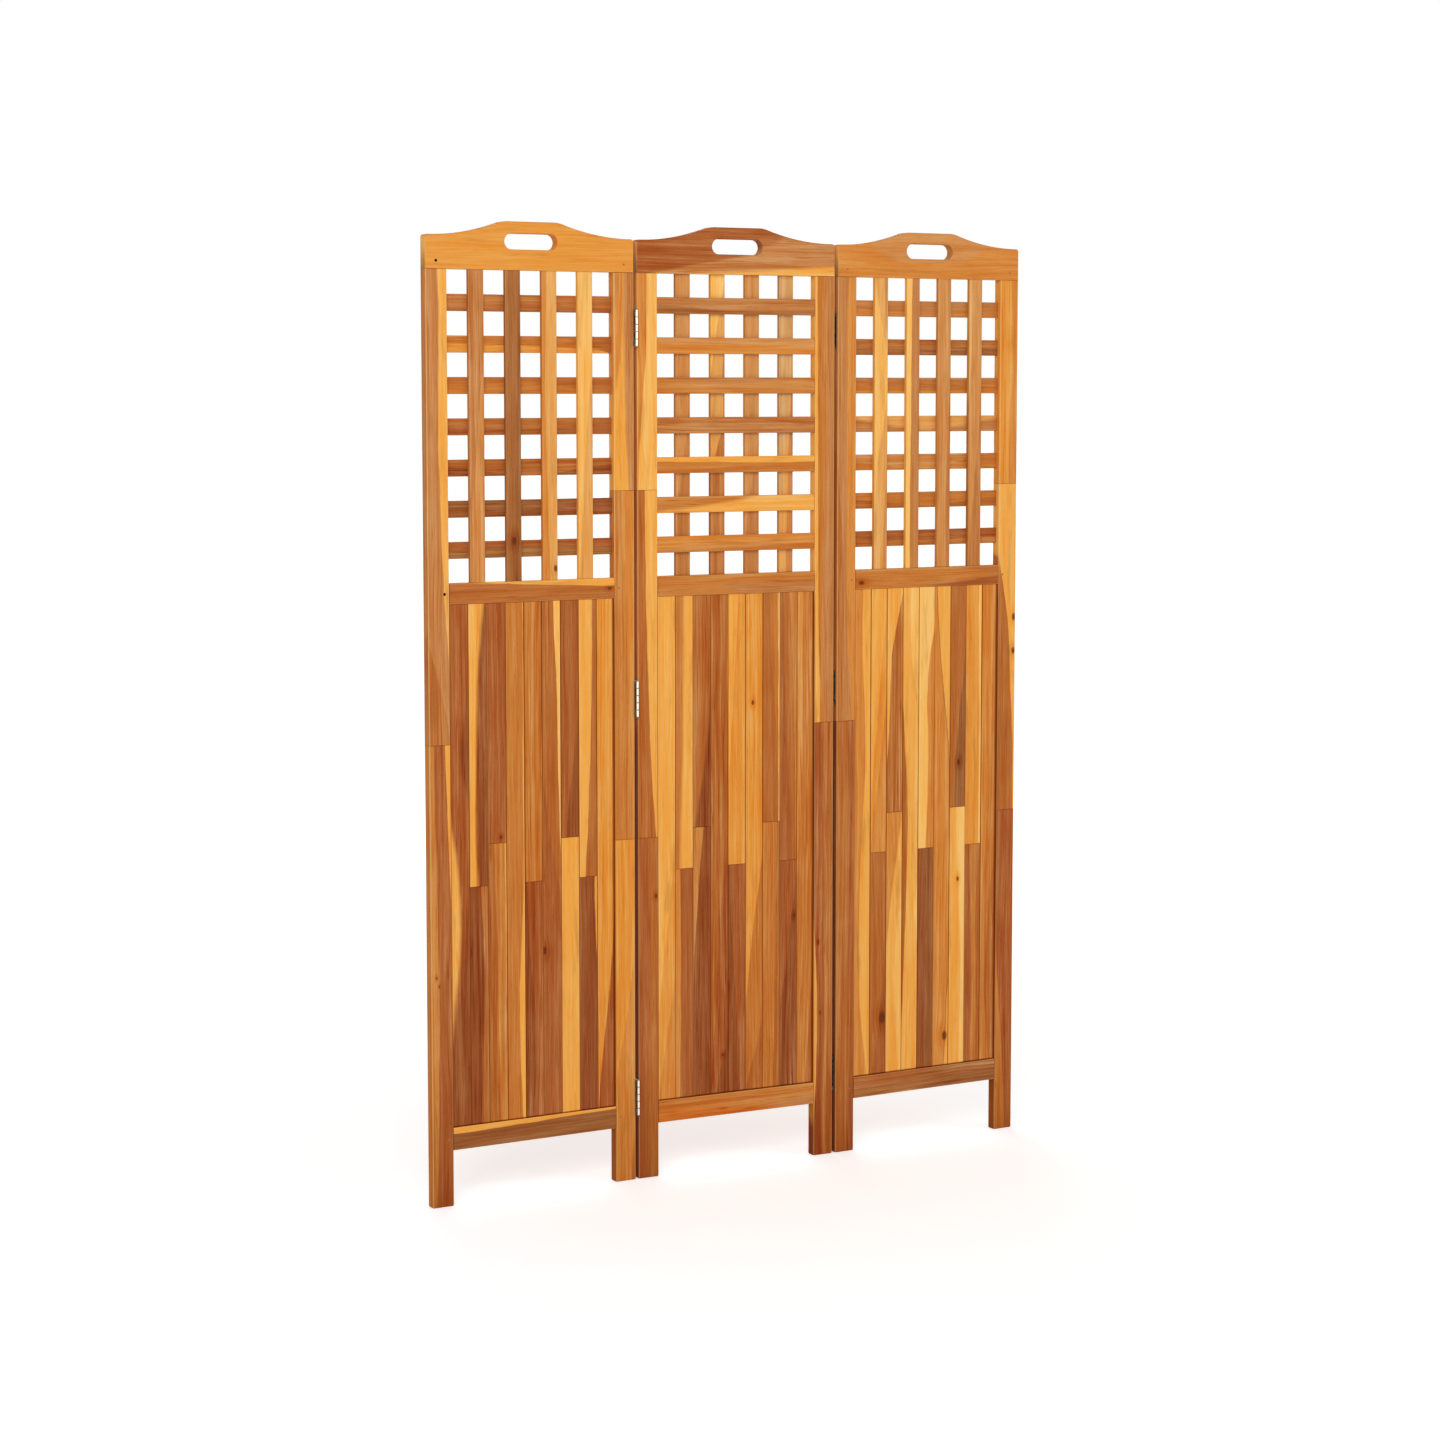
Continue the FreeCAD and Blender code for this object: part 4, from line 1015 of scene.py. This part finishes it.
def make_stile(panel, side):
    """A stile, joined end to end from two or three lengths."""
    bm, layers = new_wood()
    left, right = (PANEL_LEFT, OPENING_LEFT) if side == "left" else (OPENING_RIGHT, PANEL_RIGHT)
    node = f"{side}_stile"
    # painted shade on sides in the gaps between panels and, below the mid rail, beside the boards
    outer = OUTER_SIDE_SHADE if panel == side else GAP_SIDE_SHADE
    sides = (outer, INNER_SIDE_SHADE) if side == "left" else (INNER_SIDE_SHADE, outer)
    knots = KNOTS.get((panel, node), ())
    top = TOP_RAIL[0]
    for text, bottom in STILES[panel][side]:
        low, high = (left, FACE_FRONT, bottom), (right, FACE_BACK, top)
        timber = Timber(text, low, high, Z, knots, wear_and_highlight=STILE_WEAR_AND_HIGHLIGHT, sides=sides)
        foot = FRAME_EASE if bottom == 0.0 else 0.0
        add_stick(bm, layers, timber, FRAME_EASE, foot, joints=(bottom > 0.0, True))
        top = bottom
    place_wood(bm, panel, node, "stile")


def make_boards(panel):
    """The boards side by side, some of them joined end to end."""
    bm, layers = new_wood()
    pitch = (OPENING_RIGHT - OPENING_LEFT) / BOARD_COUNT
    for number, entry in enumerate(BOARDS[panel], 1):
        left = OPENING_LEFT + (number - 1) * pitch
        right = left + pitch
        lengths = [(entry, BOTTOM_RAIL[1], MID_RAIL[0])]
        if isinstance(entry, tuple):
            upper, joint, lower = entry
            lengths = [(lower, BOTTOM_RAIL[1], joint), (upper, joint, MID_RAIL[0])]
        knots = KNOTS.get((panel, f"board_{number}"), ())
        wear_and_highlight = BOARD_WEAR_AND_HIGHLIGHTS[number % len(BOARD_WEAR_AND_HIGHLIGHTS)]
        # the last board gets a painted shadow beside the right stile
        beside = right if number == BOARD_COUNT else None
        for text, bottom, top in lengths:
            low, high = (left, BOARD_FRONT, bottom), (right, BOARD_BACK, top)
            timber = Timber(text, low, high, Z, knots, seam_and_shade=BOARD_SEAM_AND_SHADE, wear_and_highlight=wear_and_highlight, beside=beside)
            add_stick(bm, layers, timber, BOARD_EASE)
    place_wood(bm, panel, "boards", "board")


def make_lattice(panel):
    """Uprights and crossbars in their two layers."""
    upright_layer, bar_layer = lattice_layers(panel)
    for number, ((left, right), text) in enumerate(zip(UPRIGHTS, UPRIGHT_TIMBERS[panel]), 1):
        low = (left, upright_layer[0], MID_RAIL[1])
        high = (right, upright_layer[1], TOP_RAIL[0])
        # painted shade on the slats' sides
        make_stick(panel, f"upright_{number}", "slat", text, low, high, Z, SLAT_EASE, SLAT_SIDE_SHADE)
    bm, layers = new_wood()
    pitch = (CROSSBARS[1] - CROSSBARS[0] - SLAT_WIDTH) / (CROSSBAR_COUNT - 1)
    for row, text in enumerate(CROSSBAR_TIMBERS[panel]):
        top = CROSSBARS[1] - row * pitch
        low = (OPENING_LEFT, bar_layer[0], top - SLAT_WIDTH)
        high = (OPENING_RIGHT, bar_layer[1], top)
        add_stick(bm, layers, Timber(text, low, high, X, seam_and_shade=SLAT_SIDE_SHADE), SLAT_EASE)
    place_wood(bm, panel, "crossbars", "slat")


def make_rails(panel):
    """The mid and bottom rails."""
    for node, levels, timbers in (
        ("mid_rail", MID_RAIL, MID_RAILS),
        ("bottom_rail", BOTTOM_RAIL, BOTTOM_RAILS),
    ):
        low = (OPENING_LEFT, FACE_FRONT, levels[0])
        high = (OPENING_RIGHT, FACE_BACK, levels[1])
        make_stick(panel, node, "rail", timbers[panel], low, high, X, FRAME_EASE)


def arc(x, z, radius, start, end, steps):
    """Points along an arc, its ends included."""
    turns = [start + (end - start) * index / steps for index in range(steps + 1)]
    return [(x + radius * math.cos(turn), z + radius * math.sin(turn)) for turn in turns]


def top_rail_outline():
    """The top rail from the front, anticlockwise from its lower left corner."""
    half = PANEL_RIGHT
    rise = TOP_RAIL[1] - SIDE_HEIGHT
    flat = HUMP_FLAT / 2
    reach = half - CORNER_ROUND - flat
    sweep = (reach ** 2 + rise ** 2) / (2 * rise) - HUMP_SHOULDER
    lean = math.atan2(reach, sweep + HUMP_SHOULDER - rise)
    up = math.pi / 2
    corner = half - CORNER_ROUND
    right = arc(corner, SIDE_HEIGHT - CORNER_ROUND, CORNER_ROUND, 0, up, CORNER_ARC_STEPS)
    right += arc(corner, SIDE_HEIGHT + sweep, sweep, -up, -up - lean, SWEEP_STEPS)[1:]
    right += arc(flat, TOP_RAIL[1] - HUMP_SHOULDER, HUMP_SHOULDER, up - lean, up, SHOULDER_STEPS)[1:]
    left = [(-x, z) for x, z in reversed(right)]
    return [(-half, TOP_RAIL[0]), (half, TOP_RAIL[0])] + right + left


def grip_outline():
    """The hand slot: a half round at each end."""
    level = TOP_RAIL[1] - GRIP_DROP
    radius = GRIP_HEIGHT / 2
    straight = GRIP_LENGTH / 2 - radius
    up = math.pi / 2
    right = arc(straight, level, radius, -up, up, GRIP_STEPS)
    return right + arc(-straight, level, radius, up, 3 * up, GRIP_STEPS)


def rounded_plank():
    """The top rail's mesh with rounded rims, drawn flat: its height is along Y."""
    curve = bpy.data.curves.new("top_rail_outline", "CURVE")
    curve.dimensions = "2D"
    curve.fill_mode = "BOTH"
    for outline in (top_rail_outline(), grip_outline()):
        spline = curve.splines.new("POLY")
        spline.points.add(len(outline) - 1)
        for point, (x, z) in zip(spline.points, outline):
            point.co = (x, z, 0.0, 1.0)
        spline.use_cyclic_u = True
    curve.offset = -FRAME_EASE
    curve.bevel_depth = FRAME_EASE
    curve.bevel_resolution = RIM_STEPS
    curve.extrude = (FACE_BACK - FACE_FRONT) / 2 - FRAME_EASE
    drawn = bpy.data.objects.new("top_rail_outline", curve)
    mesh = bpy.data.meshes.new_from_object(drawn)
    bpy.data.objects.remove(drawn)
    bpy.data.curves.remove(curve)
    return mesh


def make_top_rail(panel):
    """The top rail, cut from one plank with a hand slot through it."""
    mesh = rounded_plank()
    bm, layers = new_wood(mesh)
    bpy.data.meshes.remove(mesh)
    bmesh.ops.remove_doubles(bm, verts=bm.verts, dist=SAME_POINT)
    low = (PANEL_LEFT, FACE_FRONT, TOP_RAIL[0])
    high = (PANEL_RIGHT, FACE_BACK, TOP_RAIL[1])
    timber = Timber(TOP_RAILS[panel], low, high, X)
    near_rim = FRAME_EASE / 4
    for vertex in bm.verts:
        vertex.co = Vector((vertex.co.x, -vertex.co.z, vertex.co.y))
        timber.write(layers, vertex, vertex.co)
        # the rim is darker; the ends get wear with a painted highlight, also where they face a gap
        if abs(vertex.co.y) < FACE_BACK - near_rim:
            at_end = abs(vertex.co.x) > PANEL_RIGHT - near_rim
            shade, wear_and_highlight = (0.0, END_WEAR_AND_HIGHLIGHT) if at_end else (RIM_SHADE, 0.0)
            vertex[layers["edge"]] = Vector((shade, wear_and_highlight, FAR))
    place_wood(bm, panel, "top_rail", "top_rail")


def add_nail(bm, x, z, face, out, radius):
    """A nail's head on a face of the wood. out is 1 where the face looks back, or else -1."""
    rings = []
    for radius_share, proud_share in NAIL_RING_SHARES:
        ring = []
        for index in range(NAIL_SIDES):
            turn = 2 * math.pi * index / NAIL_SIDES
            ring.append(bm.verts.new((
                x + radius * radius_share * math.cos(turn),
                face + out * NAIL_PROUD * proud_share,
                z + radius * radius_share * math.sin(turn),
            )))
        rings.append(ring)
    return skin(bm, rings)


def make_nails(panel):
    """Heads of the nails that pin the tenons. On the middle panel they are at the back."""
    bm = bmesh.new()
    face, out = (FACE_BACK, 1) if panel == "middle" else (FACE_FRONT, -1)
    for side in (-1, 1):
        stile_middle = side * (OPENING_RIGHT + PANEL_RIGHT) / 2
        rail_nail = side * (OPENING_RIGHT + RAIL_NAIL_INSET)
        places = [
            (stile_middle, TOP_RAIL[0] + TOP_NAIL_RISE),
            (rail_nail, sum(MID_RAIL) / 2),
            (rail_nail, sum(BOTTOM_RAIL) / 2),
        ]
        for row, (x, z) in enumerate(places):
            dark = (panel, side, row) in DARK_NAILS
            radius = DARK_NAIL_RADIUS if dark else NAIL_RADIUS
            for made in add_nail(bm, x, z, face, out, radius):
                made.material_index = 0 if dark else 1
    place_piece(bm, panel, "nails", [NAIL_STEEL, FILLER])


def dress_node(name, material):
    """Give a CAD node that stays as it is its steel."""
    node = frame["nodes"][name]
    node.data.materials.clear()
    node.data.materials.append(material)


def dress_steel():
    """The hinges and their screws, which stay CAD nodes."""
    for side in ("left", "right"):
        for level in ("top", "middle", "bottom"):
            hinge = f"{side}_{level}_hinge"
            material = hinge_steel(hinge, side)
            for part in ("fixed_leaf", "swing_leaf", "pin"):
                dress_node(f"{hinge}_{part}", material)
    for panel in PANELS:
        dress_node(f"{panel}_panel_hinge_screws", SCREW_STEEL)


def make_floor():
    """A plain pale floor that runs into the white behind it and keeps the shadow."""
    bm = bmesh.new()
    bmesh.ops.create_grid(bm, x_segments=FLOOR_SQUARES, y_segments=FLOOR_SQUARES, size=FLOOR_REACH)
    mesh = bpy.data.meshes.new("floor")
    bm.to_mesh(mesh)
    bm.free()
    floor = bpy.data.objects.new("floor", mesh)
    bpy.context.scene.collection.objects.link(floor)
    tree = Tree(bpy.data.materials.new("floor"))
    tree.give("Base Color", FLOOR_COLOUR)
    tree.give("Roughness", FLOOR_ROUGHNESS)
    tree.give("Specular IOR Level", FLOOR_GLOSS)
    tree.give("Emission Color", WHITE)
    rays = tree.rays()
    seen = tree.math("ADD", rays["Is Camera Ray"], rays["Is Glossy Ray"], clamp=True)
    away = tree.vector("LENGTH", tree.place())
    lift = tree.ramp(away, *FLOOR_LIFT_RANGE, *FLOOR_LIFTS)
    tree.give("Emission Strength", tree.math("MULTIPLY", seen, lift))
    mesh.materials.append(tree.owner)


def make_world():
    """White where the camera or a reflection sees it, plain soft light elsewhere."""
    world = bpy.data.worlds.new("studio")
    bpy.context.scene.world = world
    tree = Tree(world, "Background")
    rays = tree.rays()
    seen = tree.math("ADD", rays["Is Camera Ray"], rays["Is Glossy Ray"], clamp=True)
    seen = tree.math("ADD", seen, rays["Is Transmission Ray"], clamp=True)
    tree.give("Color", WHITE)
    tree.give("Strength", tree.ramp(seen, 0.0, 1.0, DAYLIGHT, 1.0, smooth=False))


def make_lamp(name, place, target, size, power):
    """A soft square lamp that looks at a target."""
    light = bpy.data.lights.new(name, "AREA")
    light.shape = "SQUARE"
    light.size = size
    light.energy = power
    lamp = bpy.data.objects.new(name, light)
    lamp.location = place
    lamp.rotation_euler = (Vector(target) - Vector(place)).to_track_quat("-Z", "Y").to_euler()
    bpy.context.scene.collection.objects.link(lamp)


def make_camera():
    """The photograph's view, from the left of the middle panel."""
    camera = bpy.data.cameras.new("camera")
    camera.sensor_width = SENSOR
    camera.lens = LENS
    camera.shift_y = CAMERA_SHIFT
    camera.clip_end = SIGHT
    seat = bpy.data.objects.new("camera", camera)
    seat.location = CAMERA_PLACE
    seat.rotation_euler = (math.pi / 2 + CAMERA_PITCH, 0.0, -CAMERA_HEADING)
    bpy.context.scene.collection.objects.link(seat)
    bpy.context.scene.camera = seat


for panel in PANELS:
    make_top_rail(panel)
    make_stile(panel, "left")
    make_stile(panel, "right")
    make_rails(panel)
    make_lattice(panel)
    make_boards(panel)
    make_nails(panel)
dress_steel()
make_floor()
make_world()
for name, (place, target, size, power) in LAMPS.items():
    make_lamp(name, place, target, size, power)
make_camera()
bpy.context.scene.view_settings.view_transform = "Standard"
